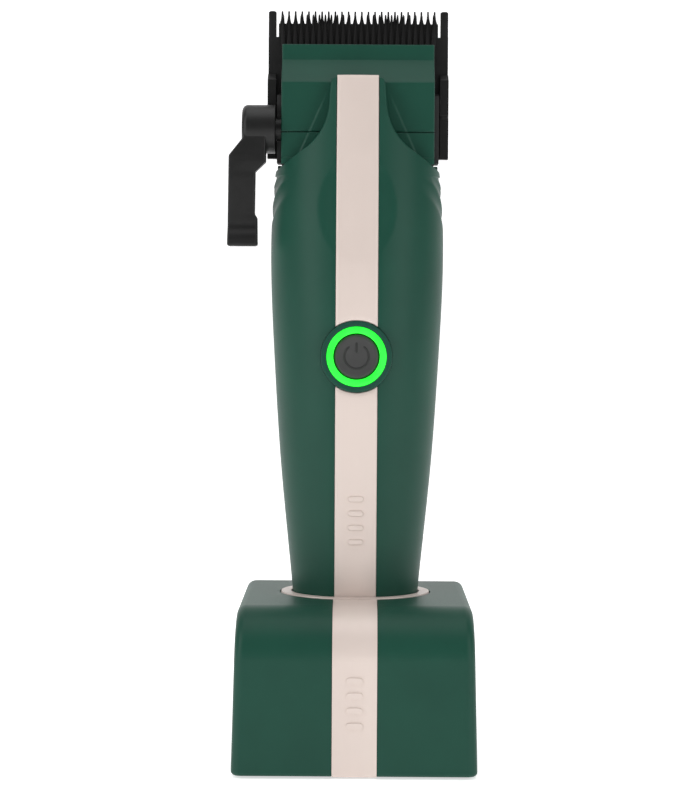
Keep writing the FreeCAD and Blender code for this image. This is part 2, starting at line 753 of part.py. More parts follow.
def build_casing():
    outer = casing_form("casing_outer")
    stripe_back = casing_form("casing_stripe", "stripe_thick")
    inner = casing_form("casing_inner", "casing_wall")
    head_room = box("head_room", ("-30", "-lid_face - 0.3", "collar_low - 4.2"),
                    ("30", "30", "neck_height + 1"))
    solid_neck = box("solid_neck", ("-30", "-30", "shoulder_height + 1"), ("30", "30", "neck_height + 1"))
    cavity = cut("cavity", inner, solid_neck)
    ribs = rib_cutters()
    butt = box("butt_trim", ("-30", "-30", "butt_height - 1"), ("30", "30", "butt_height + 4"))
    dimple = thumb_dimple()

    stripe_slot = box("stripe_slot", ("-stripe_width/2 - stripe_groove", "-30", "0"),
                      ("stripe_width/2 + stripe_groove", "0", "neck_height + 1"))
    slot = common("stripe_channel_clipper", cut("stripe_skin", outer, stripe_back), stripe_slot)
    button_hole = front_bore("button_hole", "bezel_radius + 0.1")
    front_posts = []
    rear_posts = []
    rear_bores = []
    screws = []
    for i, (x, z) in enumerate(CASE_SCREWS):
        front_posts.append(cylinder(f"front_post_{i}", "case_post_radius", "12", x, "-12 - parting_gap", z,
                                    ALONG_Y))
        rear_posts.append(cylinder(f"rear_post_{i}", "case_post_radius", "14", x, "0", z, ALONG_Y))
        rear_bores.append(cylinder(f"rear_bore_{i}", "screw_radius + 0.1", "30", x, "-1", z, ALONG_Y))
        rear_bores.append(cylinder(f"rear_head_bore_{i}", "screw_head_radius + 0.1", "20", x, "6", z,
                                   ALONG_Y))
        shank = cylinder(f"case_shank_{i}", "screw_radius - 0.02", "12", x, "-6", z, ALONG_Y)
        head = cylinder(f"case_head_{i}", "screw_head_radius", "screw_head_thick", x, "6", z, ALONG_Y)
        screws.append(fuse(f"case_screw_{i}", shank, head))
    front_form = common("front_form", outer, neck_prism())
    front_hollow = cut("front_hollow", front_form, cavity, head_room)
    front_posted = fuse("front_posted", front_hollow, common("front_posts_trimmed",
                                                             fuse("front_post_set", *front_posts),
                                                             front_form))
    front_bores = [cylinder(f"front_bore_{i}", "screw_radius", "8", x, "-8", z, ALONG_Y)
                   for i, (x, z) in enumerate(CASE_SCREWS)]
    node(cut("front_casing", front_posted, slot, button_hole, dimple, butt, *ribs, *front_bores),
         "front_shell")

    rear_room = box("rear_half_space", ("-30", "parting_gap/2", "butt_height + 4"),
                    ("30", "30", "shoulder_height"))
    rear_form = common("rear_form", outer, rear_room)
    rear_posted = fuse("rear_posted", cut("rear_hollow", rear_form, cavity),
                       common("rear_posts_trimmed", fuse("rear_post_set", *rear_posts), rear_form))
    node(cut("rear_casing", rear_posted, *ribs, *rear_bores), "rear_shell")
    node(fuse("case_screw_set", *screws), "housing_screws")

    strip = common("stripe_inlay", cut("stripe_inlay_skin", outer,
                                       casing_form("stripe_inner", "stripe_thick - 0.15")),
                   box("stripe_band", ("-stripe_width/2", "-30", "butt_height + 4.2"),
                       ("stripe_width/2", "0", "neck_height - 0.05")))
    gap_bore = front_bore("stripe_bore", "bezel_radius + 0.2")
    above = box("above_button", ("-30", "-30", "waist_height"), ("30", "30", "neck_height + 1"))
    below = box("below_button", ("-30", "-30", "0"), ("30", "30", "waist_height"))
    node(cut("stripe_upper_body", common("stripe_upper_raw", strip, above), gap_bore, dimple), "stripe_upper")
    pills = pill_column("clipper_pill", "clipper_bar_low",
                        lambda height: f"(-bar_proud - {taper_depth(height)})")
    lower = cut("stripe_lower_body", common("stripe_lower_raw", strip, below), gap_bore)
    node(fuse("stripe_lower_marked", lower, *pills), "stripe_lower")

    bezel = common("bezel_disc", cut("bezel_skin", outer, casing_form("bezel_inner", "casing_wall")),
                   front_bore("bezel_plug", "bezel_radius"))
    node(cut("bezel_body", bezel, front_bore("bezel_hole", "lamp_radius + 0.05")), "button_bezel")
    lamp = common("lamp_disc", cut("lamp_skin", outer, casing_form("lamp_back", "lamp_thick")),
                  front_bore("lamp_plug", "lamp_radius"))
    node(cut("lamp_body", lamp, front_bore("lamp_hole", "lamp_inner")), "led_ring")
    build_end_cap(outer)
    build_button()


def build_end_cap(outer):
    """Closes the lower end of the casing and carries the two charging pads."""
    cap = common("end_cap_form", outer, box("end_cap_room", ("-30", "-30", "butt_height"),
                                            ("30", "30", "butt_height + 3.9")))
    pads = []
    seats = []
    for side, x in PIN_SPOTS.items():
        seats.append(cylinder(f"pad_seat_{side}", "2.05", "1.05", x, "0", "butt_height - 0.01"))
        pads.append(cylinder(f"pad_{side}", "2", "1", x, "0", "butt_height"))
    hollow = oval_block("end_cap_hollow", [("butt_wide - casing_wall", "butt_deep - casing_wall",
                                            "butt_height + 2"),
                                           ("butt_wide - casing_wall", "butt_deep - casing_wall",
                                            "butt_height + 5")])
    node(cut("end_cap_body", cap, hollow, *seats), "end_cap")
    node(fuse("pad_pair", *pads), "charge_contacts")


def build_button():
    body = new_body("button")
    face = "(waist_deep - cap_recess)"
    spot = [("0", "waist_height")]
    pad(body, "button_cap", discs(body, "button_disc", "XZ_Plane", spot, "cap_radius", face), "cap_thick",
        backwards=True)
    rounded(body, "button_edge", "0.35", lambda e: e.BoundBox.YMax < -value_of(face) + 0.01)
    pad(body, "button_stem", discs(body, "stem_disc", "XZ_Plane", spot, "1.6", f"{face} - cap_thick"),
        "waist_deep - cap_recess - cap_thick - board_back - board_thick - 0.5 - press_travel - 0.05",
        backwards=True)
    node(body, "power_button")


# ---- inside the clipper -----------------------------------------------------------------------


def build_power():
    cell = fuse("cell", cylinder("cell_can", "cell_radius", "cell_length", z="cell_low"),
                cylinder("cell_tip", "3", "1", z="cell_low + cell_length"))
    node(cell, "battery_cell")

    body = new_body("chassis")
    centre = [("0", "0")]
    low = "cell_low - chassis_wall"
    outer = "cell_radius + 0.15 + chassis_wall"
    motor_seat = "motor_radius + 0.1"
    pad(body, "cell_tube", discs(body, "tube_disc", "XY_Plane", centre, outer, low),
        f"motor_low - chassis_wall - ({low})")
    pad(body, "motor_cup", discs(body, "cup_disc", "XY_Plane", centre, f"{motor_seat} + chassis_wall",
                                 "motor_low - chassis_wall"), "motor_length - 3 + chassis_wall")
    pocket(body, "cell_bore", discs(body, "cell_disc", "XY_Plane", centre, "cell_radius + 0.15", "cell_low"),
           "motor_low - cell_low - chassis_wall - 0.5", backwards=True)
    pocket(body, "motor_bore", discs(body, "motor_disc", "XY_Plane", centre, motor_seat, "motor_low"),
           "motor_length", backwards=True)
    window = rectangle(body, "window", "XY_Plane", ("-20", "-20"), ("20", "-3"), "cell_low")
    pocket(body, "front_window", window, "motor_low - cell_low - chassis_wall - 0.5", backwards=True)
    bosses = discs(body, "boss_discs", "XZ_Plane", [("0", "cell_low + 12"), ("0", "cell_low + 52")], "2.5",
                   "-cell_radius - 0.6")
    pad(body, "bosses", bosses, "10", backwards=True)
    node(common("chassis_fitted", body, casing_form("chassis_fit", "casing_wall + 0.05")), "inner_chassis")

    board = new_body("clipper_board")
    face = "board_back"
    edge = rectangle(board, "clipper_board_outline", "XZ_Plane", ("-board_half", "board_low"),
                     ("board_half", "board_high"), face)
    pad(board, "clipper_board_pad", edge, "board_thick")
    node(board, "main_circuit_board")
    switch_face = "board_back + board_thick"
    can = box("switch_can", ("-3", f"-({switch_face}) - 0.45", "waist_height - 3"),
              ("3", f"-({switch_face})", "waist_height + 3"))
    node(can, "tact_switch")
    props = [box(f"main_board_prop_{i}", ("-3", "-board_back", z), ("3", "-cell_radius - 0.02", f"{z} + 3"))
             for i, z in enumerate(("board_low + 1", "cell_low + cell_length - 4"))]
    node(fuse("main_board_props", *props), "board_spacers")


def build_motor():
    can = cylinder("motor_shell", "motor_radius", "motor_length", z="motor_low")
    room = cylinder("motor_room", "motor_radius - 1", "motor_length - 2.5", z="motor_low + 1")
    hole = cylinder("shaft_hole", "shaft_radius + running_gap", "motor_length", z="motor_low + 2")
    node(cut("motor_body", can, room, hole), "motor_can")

    top = "motor_low + motor_length"
    core = cylinder("armature", "motor_radius - 3.5", "motor_length - 8", z="motor_low + 3.5")
    shaft = cylinder("shaft", "shaft_radius", "motor_length + shaft_proud - 1.05", z="motor_low + 1.05")
    node(fuse("rotor_body", core, shaft), "motor_rotor")
    hub = cylinder("crank_hub", "4", "2.2", z=f"{top} + 0.5")
    hub_bore = cylinder("crank_bore", "shaft_radius", "shaft_proud", z=top)
    pin = cylinder("crank_pin", "crank_pin_radius", "6.5", "crank_throw", "0", f"{top} + 2.6")
    node(cut("crank_body", fuse("crank_solid", hub, pin), hub_bore), "eccentric_crank")


# ---- head -------------------------------------------------------------------------------------


def lid_corners(inset):
    """Side outline of the lid: upright face, slope and lip, moved inwards by a thickness."""
    face = f"-lid_face + {inset}"
    lip = f"-lid_lip_face + {inset}"
    return [("lid_back", "lid_low"), (face, "lid_low"), (face, f"lid_break - {inset}*0.35"),
            (lip, f"lid_lip_low - {inset}*0.35"), (lip, f"lid_top - {inset}"),
            ("lid_back", f"lid_top - {inset}")]


def cam_bore(name, extra):
    """Room for the lever's cam shaft through the left side of the head."""
    return cylinder(name, f"cam_shaft_radius + cam_flange + {extra}", "frame_half - fork_outer + 1",
                    "-frame_half - 1",
                    "-lever_y", "lever_z", ALONG_X)


def build_lid():
    body = new_body("lid")
    pad(body, "lid_block", outline(body, "lid_side", "YZ_Plane", lid_corners("0")), "2*lid_half",
        midplane=True)
    rounded(body, "lid_corners", "1.6", lambda e: spans(e, "x") < 0.01 and e.BoundBox.YMax < 0
            and (spans(e, "z") > 3))
    hollow = outline(body, "lid_inner", "YZ_Plane", lid_corners("lid_wall"))
    pocket(body, "lid_hollow", hollow, "2*(lid_half - lid_wall)", midplane=True)
    node(cut("lid_body", body, cam_bore("lid_cam_hole", "cam_clear")), "head_lid")

    collar = new_body("collar")
    rim = rectangle(collar, "collar_outline", "XY_Plane", ("-lid_half", "-lid_face"),
                    ("lid_half", "lid_back"),
                    "collar_low")
    pad(collar, "collar_block", rim, "lid_low - seam_gap - collar_low")
    rounded(collar, "collar_corners", "1.6", lambda e: spans(e, "z") > 3 and e.BoundBox.YMax < 0)
    room = rectangle(collar, "collar_room", "XY_Plane", ("-lid_half + lid_wall", "-lid_face + lid_wall"),
                     ("lid_half - lid_wall", "lid_back + 1"), "collar_low")
    pocket(collar, "collar_hollow", room, "lid_low", backwards=True)
    node(cut("collar_body", collar, cam_bore("collar_cam_hole", "cam_clear")), "head_collar")


def build_head_frame():
    """The black block between casing and blades, open in the middle for the drive."""
    plug = common("frame_plug", casing_form("frame_fit", "casing_wall + 0.15"),
                  box("frame_plug_room", ("-30", "-lid_face", "frame_low"),
                      ("30", "30", "shoulder_height + 0.1")))
    base = box("frame_base", ("-lid_half", "-lid_face", "shoulder_height + 0.05"),
               ("lid_half", "frame_rear", "collar_low - 0.05"))
    cheeks = [box(f"frame_cheek_{side}", (f"{low}", "-3.4", "collar_low - 0.1"),
                  (f"{high}", "frame_back", "frame_top"))
              for side, low, high in (("left", "-frame_half", "-frame_half + frame_cheek"),
                                      ("right", "frame_half - frame_cheek", "frame_half"))]
    feet = [box(f"frame_foot_{side}", (f"{low}", "-3.4", "collar_low - 1.2"),
                (f"{high}", "frame_back", "collar_low"))
            for side, low, high in (("left", "-frame_half", "-frame_half + 2"),
                                    ("right", "frame_half - 2", "frame_half"))]
    back = box("frame_wall", ("-frame_half + frame_cheek - 0.1", "lid_back + 0.3", "collar_low - 0.1"),
               ("frame_half - frame_cheek + 0.1", "frame_back", "frame_top"))
    drive_room = box("drive_room", ("-9.4", "-4.4", "frame_low - 1"), ("9.4", "frame_back", "collar_low"))
    yoke_slot = box("yoke_slot", ("-6.4", "-4.4", "frame_low - 1"),
                    ("6.4", "frame_back + 1", "frame_top + 1"))
    cam_hole = cam_bore("cam_hole", "running_gap")
    fork_slot = box("fork_slot", ("-fork_outer - 0.3", "lid_back", "lever_z - 4.6"),
                    ("-fork_inner + 0.3", "frame_back + 1", "lever_z + 6.2"))
    body = fuse("frame_solid", plug, base, back, *cheeks, *feet)
    node(cut("frame_body", body, drive_room, yoke_slot, cam_hole, fork_slot), "head_frame")


def toothed_blade(name, half, low, front, thick, tip, root, pitch, gap_low, gap_high, corner):
    """A flat blade with a row of tapered teeth along its upper edge."""
    body = new_body(name)
    back = f"-({front} + {thick})"
    pad(body, name + "_plate", rectangle(body, name + "_outline", "XZ_Plane", (f"-({half})", low),
                                         (half, tip), back),
        thick)
    reach = f"2*({half} - {corner})"
    count = round(value_of(reach) / value_of(pitch))
    first = f"-({half}) + {corner}"
    step = f"{reach}/{count}"
    gap = [(f"{first} + {step}/2 - {gap_low}/2", root), (f"{first} + {step}/2 + {gap_low}/2", root),
           (f"{first} + {step}/2 + {gap_high}/2", f"{tip} + 0.1"),
           (f"{first} + {step}/2 - {gap_high}/2", f"{tip} + 0.1")]
    notch = pocket(body, name + "_gap", outline(body, name + "_gap_outline", "XZ_Plane", gap, back),
                   f"{thick} + 1", backwards=True)
    return body, notch, f"{reach} - {step}", count


def build_blades():
    fixed, notch, reach, count = toothed_blade("fixed_plate", "blade_half", "blade_low", "blade_front",
                                               "blade_thick",
                                               "tip_height", "tooth_root", "tooth_pitch", "tooth_gap_low",
                                               "tooth_gap_high", "corner_width")
    repeated(fixed, "fixed_teeth", notch, "YZ_Plane", reach, count)
    bevel = [("blade_front + tip_thick", "tip_height"), ("blade_front + blade_thick + 0.1",
                                                         "tip_height + 0.1"),
             ("blade_front + blade_thick + 0.1", "tooth_root - 3"),
             ("blade_front + blade_thick", "tooth_root - 3")]
    pocket(fixed, "fixed_bevel", outline(fixed, "fixed_bevel_outline", "YZ_Plane", bevel), "2*blade_half + 2",
           midplane=True)
    spots = [("-blade_screw_x", "blade_screw_z"), ("blade_screw_x", "blade_screw_z")]
    back = "-(blade_front + blade_thick)"
    pocket(fixed, "blade_holes", discs(fixed, "blade_hole_discs", "XZ_Plane", spots, "1.3", back),
           "blade_thick", backwards=True)
    node(fixed, "fixed_blade")

    plate_front = "blade_front - blade_slip - cutter_thick"
    cutter, notch, reach, count = toothed_blade("cutter_plate", "cutter_half", "cutter_low", plate_front,
                                                "cutter_thick", "cutter_tip", "cutter_root", "cutter_pitch",
                                                "cutter_gap_low", "cutter_gap_high", "cutter_pitch/2")
    repeated(cutter, "cutter_teeth", notch, "YZ_Plane", reach, count)
    bevel = [(plate_front, "cutter_root - 2"), (f"{plate_front} - 0.1", "cutter_root - 2"),
             (f"{plate_front} - 0.1", "cutter_tip + 0.1"), ("blade_front - blade_slip - tip_thick",
                                                            "cutter_tip")]
    pocket(cutter, "cutter_bevel", outline(cutter, "cutter_bevel_outline", "YZ_Plane", bevel),
           "2*cutter_half + 2",
           midplane=True)
    node(cutter, "moving_cutter")

    screws = []
    for i, (x, z) in enumerate(spots):
        face = "blade_front + blade_thick"
        head = cylinder(f"blade_head_{i}", "2.2", "1.2", x, face, z, ALONG_Y)
        shank = cylinder(f"blade_shank_{i}", "1.28", "blade_front + blade_thick - carriage_front", x,
                         "carriage_front",
                         z, ALONG_Y)
        slot = box(f"blade_slot_{i}", (f"{x} - 2.4", f"{face} + 0.7", f"{z} - 0.3"),
                   (f"{x} + 2.4", f"{face} + 1.3",
                   f"{z} + 0.3"))
        screws.append(cut(f"blade_screw_{i}", fuse(f"blade_screw_solid_{i}", head, shank), slot))
    node(fuse("blade_screw_pair", *screws), "blade_screws")


def build_carriage():
    """Carries the fixed blade up and down; its fork is moved by the lever's cam pin."""
    plate = box("carriage_plate", ("-arm_outer", "carriage_front", "carriage_low"),
                ("arm_outer", "blade_front", "carriage_top"))
    notch = "carriage_low + arm_notch_height"
    side_view = [("arm_front", "carriage_low"), ("arm_front", f"{notch} - arm_notch"),
                 ("arm_front + arm_notch", notch), ("arm_front", f"{notch} + arm_notch"),
                 ("arm_front", "arm_top - arm_slope"), ("blade_front - 0.4", "arm_top"),
                 ("blade_front", "arm_top"), ("blade_front", "carriage_low")]
    arms = []
    for side, low in (("left", "-arm_outer"), ("right", "arm_inner")):
        arm = new_body(f"carriage_arm_{side}")
        pad(arm, f"arm_pad_{side}", outline(arm, f"arm_outline_{side}", "YZ_Plane", side_view, low), "arm_thick")
        arms.append(arm)
    fork = box("carriage_fork", ("-fork_outer", "-lever_y - 1.4", "lever_z - 2.3"),
               ("-fork_inner", "carriage_front + 0.1", "lever_z + 2.3"))
    slot_half = "(cam_pin_radius + cam_slot_gap)"
    slot = box("fork_pin_slot", ("-fork_outer - 1", "-lever_y - 2", f"lever_z - {slot_half}"),
               ("-fork_inner + 1", "-lever_y + cam_throw + cam_pin_radius + 0.3", f"lever_z + {slot_half}"))
    window = box("carriage_window", ("-6.4", "0", "carriage_low - 1"),
                 ("6.4", "blade_front + 1", "blade_low - 0.5"))
    holes = [cylinder(f"carriage_hole_{i}", "1.28", "9", f"{sign}*blade_screw_x", "0", "blade_screw_z",
                      ALONG_Y)
             for i, sign in enumerate(("-1", "1"))]
    node(cut("carriage_body", fuse("carriage_solid", plate, *arms, fork), slot, window, *holes),
         "blade_carriage")


def build_drive():
    """Yoke that turns the crank pin's circle into the cutter's stroke, and the spring that presses it."""
    front = "blade_front - blade_slip - cutter_thick"
    top = "motor_low + motor_length"
    slot_half = "2*crank_throw + crank_pin_radius + 0.2"
    slot_deep = "crank_throw + crank_pin_radius + 0.25"
    block = box("yoke_block", (f"-({slot_half}) - 1.3", f"-({slot_deep}) - 1.2", f"{top} + 4"),
                (f"{slot_half} + 1.3", f"{slot_deep} + yoke_thick", f"{top} + 8"))
    slot = box("yoke_slot_tool", (f"-({slot_half})", f"-({slot_deep})", f"{top} + 3"), (slot_half, slot_deep,
               f"{top} + 9"))
    leg = box("yoke_leg", ("-4.6", slot_deep, f"{top} + 6"),
              ("4.6", f"{slot_deep} + yoke_thick", "cutter_low + 3"))
    foot = box("yoke_foot", ("-8", slot_deep, "cutter_low + 0.4"), ("8", front, "cutter_low + 4.5"))
    node(fuse("yoke_body", cut("yoke_fork", block, slot), leg, foot), "cutter_yoke")


def build_lever():
    body = new_body("lever")
    centre = [("-lever_y", "lever_z")]
    pad(body, "hub", discs(body, "hub_disc", "YZ_Plane", centre, "hub_radius", "-hub_outer"),
        "hub_outer - hub_inner")
    rounded(body, "hub_dome", "1.6", lambda e: e.BoundBox.XMax < -value_of("hub_outer") + 0.01)
    corners = [("-hub_outer + 1.2", "lever_z - 2"), ("-lever_outer + 1", "lever_z - 6.5"),
               ("-lever_outer", "lever_low"), ("-lever_inner + 0.7", "lever_low"),
               ("-lever_inner + 0.7", "lever_low + 7.2"), ("-lever_inner", "lever_low + 8.4"),
               ("-lever_inner", "lever_low + 19.4"), ("-lever_inner + 2.6", "lever_low + 21.9"),
               ("-lever_inner + 2.6", "lever_z - 2")]
    arm = outline(body, "lever_outline", "XZ_Plane", corners, "lever_front")
    pad(body, "lever_arm", arm, "lever_thick", backwards=True)
    rounded(body, "lever_corners", "0.9", lambda e: spans(e,
                                                          "y") > 4 and e.BoundBox.ZMax < value_of("lever_z - 3"))
    node(body, "taper_lever")

    shaft = cylinder("cam_shaft", "cam_shaft_radius + cam_flange", "hub_inner - fork_outer - 0.4",
                     "-hub_inner",
                     "-lever_y", "lever_z", ALONG_X)
    pin = cylinder("cam_pin", "cam_pin_radius", "hub_inner - fork_inner + 0.3", "-hub_inner",
                   "-lever_y + cam_throw",
                   "lever_z", ALONG_X)
    node(fuse("cam_body", shaft, pin), "lever_cam")


def main():
    os.makedirs("parts", exist_ok=True)
    build_stand()
    build_stand_base()
    build_stand_charging()
    build_casing()
    build_power()
    build_motor()
    build_lid()
    build_head_frame()
    build_blades()
    build_carriage()
    build_drive()
    build_lever()
    doc.recompute()
    faults = [item.Name for item in doc.Objects if any(word in ("Invalid", "Error") for word in item.State)]
    faults += [item.Label for item in EXPORTED if item.Shape.isNull() or not item.Shape.isValid()]
    if faults:
        raise ValueError("failed objects: " + ", ".join(faults))
    for item in EXPORTED:
        item.Shape.exportStep(f"parts/{item.Label}.step")
        print(f"{item.Label}: {len(item.Shape.Solids)} solid, {item.Shape.Volume:.1f} mm3")


main()
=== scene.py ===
import json
import math

import bmesh
import bpy
import numpy as np
from mathutils import Matrix, Vector


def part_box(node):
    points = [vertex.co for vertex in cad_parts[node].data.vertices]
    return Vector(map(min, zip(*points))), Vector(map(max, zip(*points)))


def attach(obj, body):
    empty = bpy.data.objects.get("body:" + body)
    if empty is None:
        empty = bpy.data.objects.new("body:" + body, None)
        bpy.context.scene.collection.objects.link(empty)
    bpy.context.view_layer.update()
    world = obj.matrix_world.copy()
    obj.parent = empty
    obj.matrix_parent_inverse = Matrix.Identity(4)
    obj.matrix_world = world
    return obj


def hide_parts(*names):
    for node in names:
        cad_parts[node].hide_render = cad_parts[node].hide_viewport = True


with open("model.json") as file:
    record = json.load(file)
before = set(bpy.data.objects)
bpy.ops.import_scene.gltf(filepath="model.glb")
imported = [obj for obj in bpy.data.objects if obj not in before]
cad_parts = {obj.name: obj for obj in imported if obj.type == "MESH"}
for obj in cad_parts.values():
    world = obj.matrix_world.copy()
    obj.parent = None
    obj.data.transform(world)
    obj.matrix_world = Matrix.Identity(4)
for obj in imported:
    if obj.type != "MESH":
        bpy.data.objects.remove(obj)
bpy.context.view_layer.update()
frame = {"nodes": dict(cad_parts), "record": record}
NODES = frame["nodes"]
MM = 0.001


# ---- materials ----------------------------------------------------------------------------------


def tone(red, green, blue):
    """A display colour, 0 to 255, as the linear colour that shaders use."""
    def linear(part):
        part = part / 255
        return part / 12.92 if part <= 0.04045 else ((part + 0.055) / 1.055) ** 2.4
    return (linear(red), linear(green), linear(blue), 1.0)


class Graph:
    """Nodes of one material around its Principled shader."""

    def __init__(self, name):
        self.material = bpy.data.materials.new(name)
        self.material.use_nodes = True
        self.tree = self.material.node_tree
        self.shader = self.tree.nodes["Principled BSDF"]
        self.place = self.add("ShaderNodeTexCoord").outputs["Object"]

    def add(self, kind, **settings):
        item = self.tree.nodes.new(kind)
        for key, value in settings.items():
            setattr(item, key, value)
        return item

    def link(self, source, target):
        self.tree.links.new(source, target)

    def noise(self, scale, detail=4, rough=0.55, stretch=(1, 1, 1)):
        """Noise in the object's own metres; stretch squeezes it along the axes."""
        spread = self.add("ShaderNodeMapping")
        spread.inputs["Scale"].default_value = stretch
        self.link(self.place, spread.inputs["Vector"])
        cloud = self.add("ShaderNodeTexNoise")
        cloud.inputs["Scale"].default_value = scale
        cloud.inputs["Detail"].default_value = detail
        cloud.inputs["Roughness"].default_value = rough
        self.link(spread.outputs["Vector"], cloud.inputs["Vector"])
        return cloud.outputs["Fac"]

    def spread(self, fac, low, high):
        """Maps noise, which stays mostly between 0.3 and 0.7, to low and high."""
        span = self.add("ShaderNodeMapRange")
        span.inputs["From Min"].default_value = 0.3
        span.inputs["From Max"].default_value = 0.7
        span.inputs["To Min"].default_value = low
        span.inputs["To Max"].default_value = high
        self.link(fac, span.inputs["Value"])
        return span.outputs["Result"]

    def blend(self, fac, first, second):
        """A colour between two, by fac."""
        mix = self.add("ShaderNodeMix", data_type="RGBA")
        self.link(fac, mix.inputs["Factor"])
        mix.inputs[6].default_value = first
        mix.inputs[7].default_value = second
        return mix.outputs[2]

    def bump(self, fac, depth, strength=1.0):
        rise = self.add("ShaderNodeBump")
        rise.inputs["Distance"].default_value = depth
        rise.inputs["Strength"].default_value = strength
        self.link(fac, rise.inputs["Height"])
        self.link(rise.outputs["Normal"], self.shader.inputs["Normal"])

    def set(self, **values):
        for key, value in values.items():
            self.shader.inputs[key.replace("_", " ")].default_value = value


def finish_of(name, dark, light, rough, metal=0.0, patch=180, grain=2600, grain_depth=0.00001,
              stretch=(1, 1, 1), **constants):
    """A finish whose colour and gloss drift slowly and whose surface has a fine grain."""
    graph = Graph(name)
    cloud = graph.noise(patch, stretch=stretch)
    graph.link(graph.blend(graph.spread(cloud, 0, 1), dark, light), graph.shader.inputs["Base Color"])
    fine = graph.noise(grain, detail=2, stretch=stretch)
    graph.link(graph.spread(fine, rough - 0.04, rough + 0.04), graph.shader.inputs["Roughness"])
    graph.bump(fine, grain_depth)
    graph.set(Metallic=metal, **constants)
    return graph.material


def green_lacquer():
    return finish_of("satin_green_lacquer", tone(20, 66, 53), tone(23, 71, 57), 0.44, patch=60,
                     grain=4200, grain_depth=0.000004, Specular_IOR_Level=0.22)


def champagne():
    return finish_of("satin_champagne", tone(214, 199, 191), tone(220, 205, 197), 0.4, metal=0.1, patch=50,
                     grain=3800, grain_depth=0.000004, stretch=(1, 1, 0.15))


def plastic(name, level, rough=0.5, grain_depth=0.00001):
    low = tone(level, level, level)
    high = tone(level + 5, level + 5, level + 5)
    return finish_of(name, low, high, rough, patch=220, grain=3000, grain_depth=grain_depth)


def glow():
    graph = Graph("lamp_green")
    cloud = graph.noise(300)
    colour = graph.blend(graph.spread(cloud, 0, 1), tone(24, 235, 44), tone(40, 255, 60))
    graph.link(colour, graph.shader.inputs["Base Color"])
    graph.link(colour, graph.shader.inputs["Emission Color"])
    graph.set(Emission_Strength=0.8, Roughness=0.35)
    return graph.material


def board_green():
    """Solder mask with faint copper tracks under it."""
    graph = Graph("circuit_board")
    tracks = graph.add("ShaderNodeTexBrick")
    tracks.inputs["Scale"].default_value = 260
    tracks.inputs["Mortar Size"].default_value = 0.04
    tracks.inputs["Color1"].default_value = tone(14, 70, 40)
    tracks.inputs["Color2"].default_value = tone(16, 76, 44)
    tracks.inputs["Mortar"].default_value = tone(44, 110, 62)
    graph.link(graph.place, tracks.inputs["Vector"])
    graph.link(tracks.outputs["Color"], graph.shader.inputs["Base Color"])
    graph.bump(tracks.outputs["Fac"], 0.00003)
    graph.set(Roughness=0.35)
    return graph.material


MATERIALS = {
    "shell_green": green_lacquer(),
    "stripe_champagne": champagne(),
    "black_plastic": plastic("black_plastic", 24),
    "black_steel": finish_of("black_coated_steel", tone(11, 11, 11), tone(17, 17, 17), 0.42, patch=400,
                             grain=2400, grain_depth=0.00001, Specular_IOR_Level=0.38),
    "inner_plastic": plastic("inner_plastic", 48, 0.55),
    "button_grey": plastic("button_grey", 52, 0.48),
    "lamp_green": glow(),
    "steel": finish_of("bright_steel", tone(172, 172, 170), tone(190, 190, 188), 0.28, metal=1.0, patch=500,
                       grain=1800, stretch=(1, 1, 0.1)),
    "cast_weight": finish_of("cast_weight", tone(88, 88, 90), tone(112, 112, 114), 0.6, metal=0.8, patch=300,
                             grain=900, grain_depth=0.00008),
    "gold_contact": finish_of("gold_contact", tone(212, 166, 84), tone(228, 186, 104), 0.25, metal=1.0,
                              patch=500),
    "circuit_board": board_green(),
    "foot_rubber": plastic("foot_rubber", 30, 0.8, 0.00003),
    "cell_wrap": finish_of("cell_wrap", tone(46, 92, 150), tone(52, 100, 160), 0.35, patch=120, grain=1200),
    "foam": plastic("foam", 60, 0.9, 0.0001),
}
SLOT_OF = {part["node"]: part["material_slot"] for part in frame["record"]["subparts"]}


def paint(piece, slot):
    piece.data.materials.clear()
    piece.data.materials.append(MATERIALS[slot])


def soften_edges(piece, width, steps=2, angle=32):
    """Rounds the sharp edges of a mesh that stays otherwise as it is."""
    weld = piece.modifiers.new("weld", "WELD")
    weld.merge_threshold = 0.000002
    bevel = piece.modifiers.new("bevel", "BEVEL")
    bevel.width = width
    bevel.segments = steps
    bevel.limit_method = "ANGLE"
    bevel.angle_limit = math.radians(angle)
    bevel.harden_normals = False
    piece.modifiers.new("even_normals", "WEIGHTED_NORMAL").keep_sharp = True


def dress_frame():
    for name, piece in NODES.items():
        paint(piece, SLOT_OF[name])
    for name in ("stand_shell", "head_frame", "blade_carriage"):
        soften_edges(NODES[name], 0.00015)


# ---- shapes ---------------------------------------------------------------------------------------

# The casing's oval section at rising heights: height, half width, half depth, in millimetres.
STAGES = ((22.0, 14.4, 12.2), (40.3, 15.9, 13.7), (72.0, 19.0, 16.8), (100.6, 20.9, 19.0),
          (126.0, 21.85, 18.6), (148.5, 20.6, 15.4), (171.3, 16.5, 9.2))
PARTING = 0.05
WALL = 2.2
BUTT_TOP = 26.0
SHOULDER = 148.5
NECK_TOP = 170.1
NECK_HALF = 6.7
NECK_SPREAD = 7.8
NECK_CORNER = 156.0
NECK_FLARE = 14.5
NECK_TIP = 1.2
REACH = 25.0
REACH_LOW = 143.9
LID_FRONT = 6.9
STRIPE_HALF = 5.2
GROOVE = 0.12
STRIPE_DEEP = 1.3
BUTTON_HEIGHT = 100.6
BEZEL_RADIUS = 8.83
LAMP_OUTER = 7.4
LAMP_INNER = 5.73
CAP_RADIUS = 5.46
DIMPLE = (137.2, 9.3, 12.9, 0.8)
RIB_LOW = 134.8
RIB_PITCH = 5.3
RIB_COUNT = 3
NARROW_FROM = 143.5
TOP_HALF = 20.3
RIB_DEEP = 0.45
RIB_FROM = 0.72
RIB_SLANT = 0.85


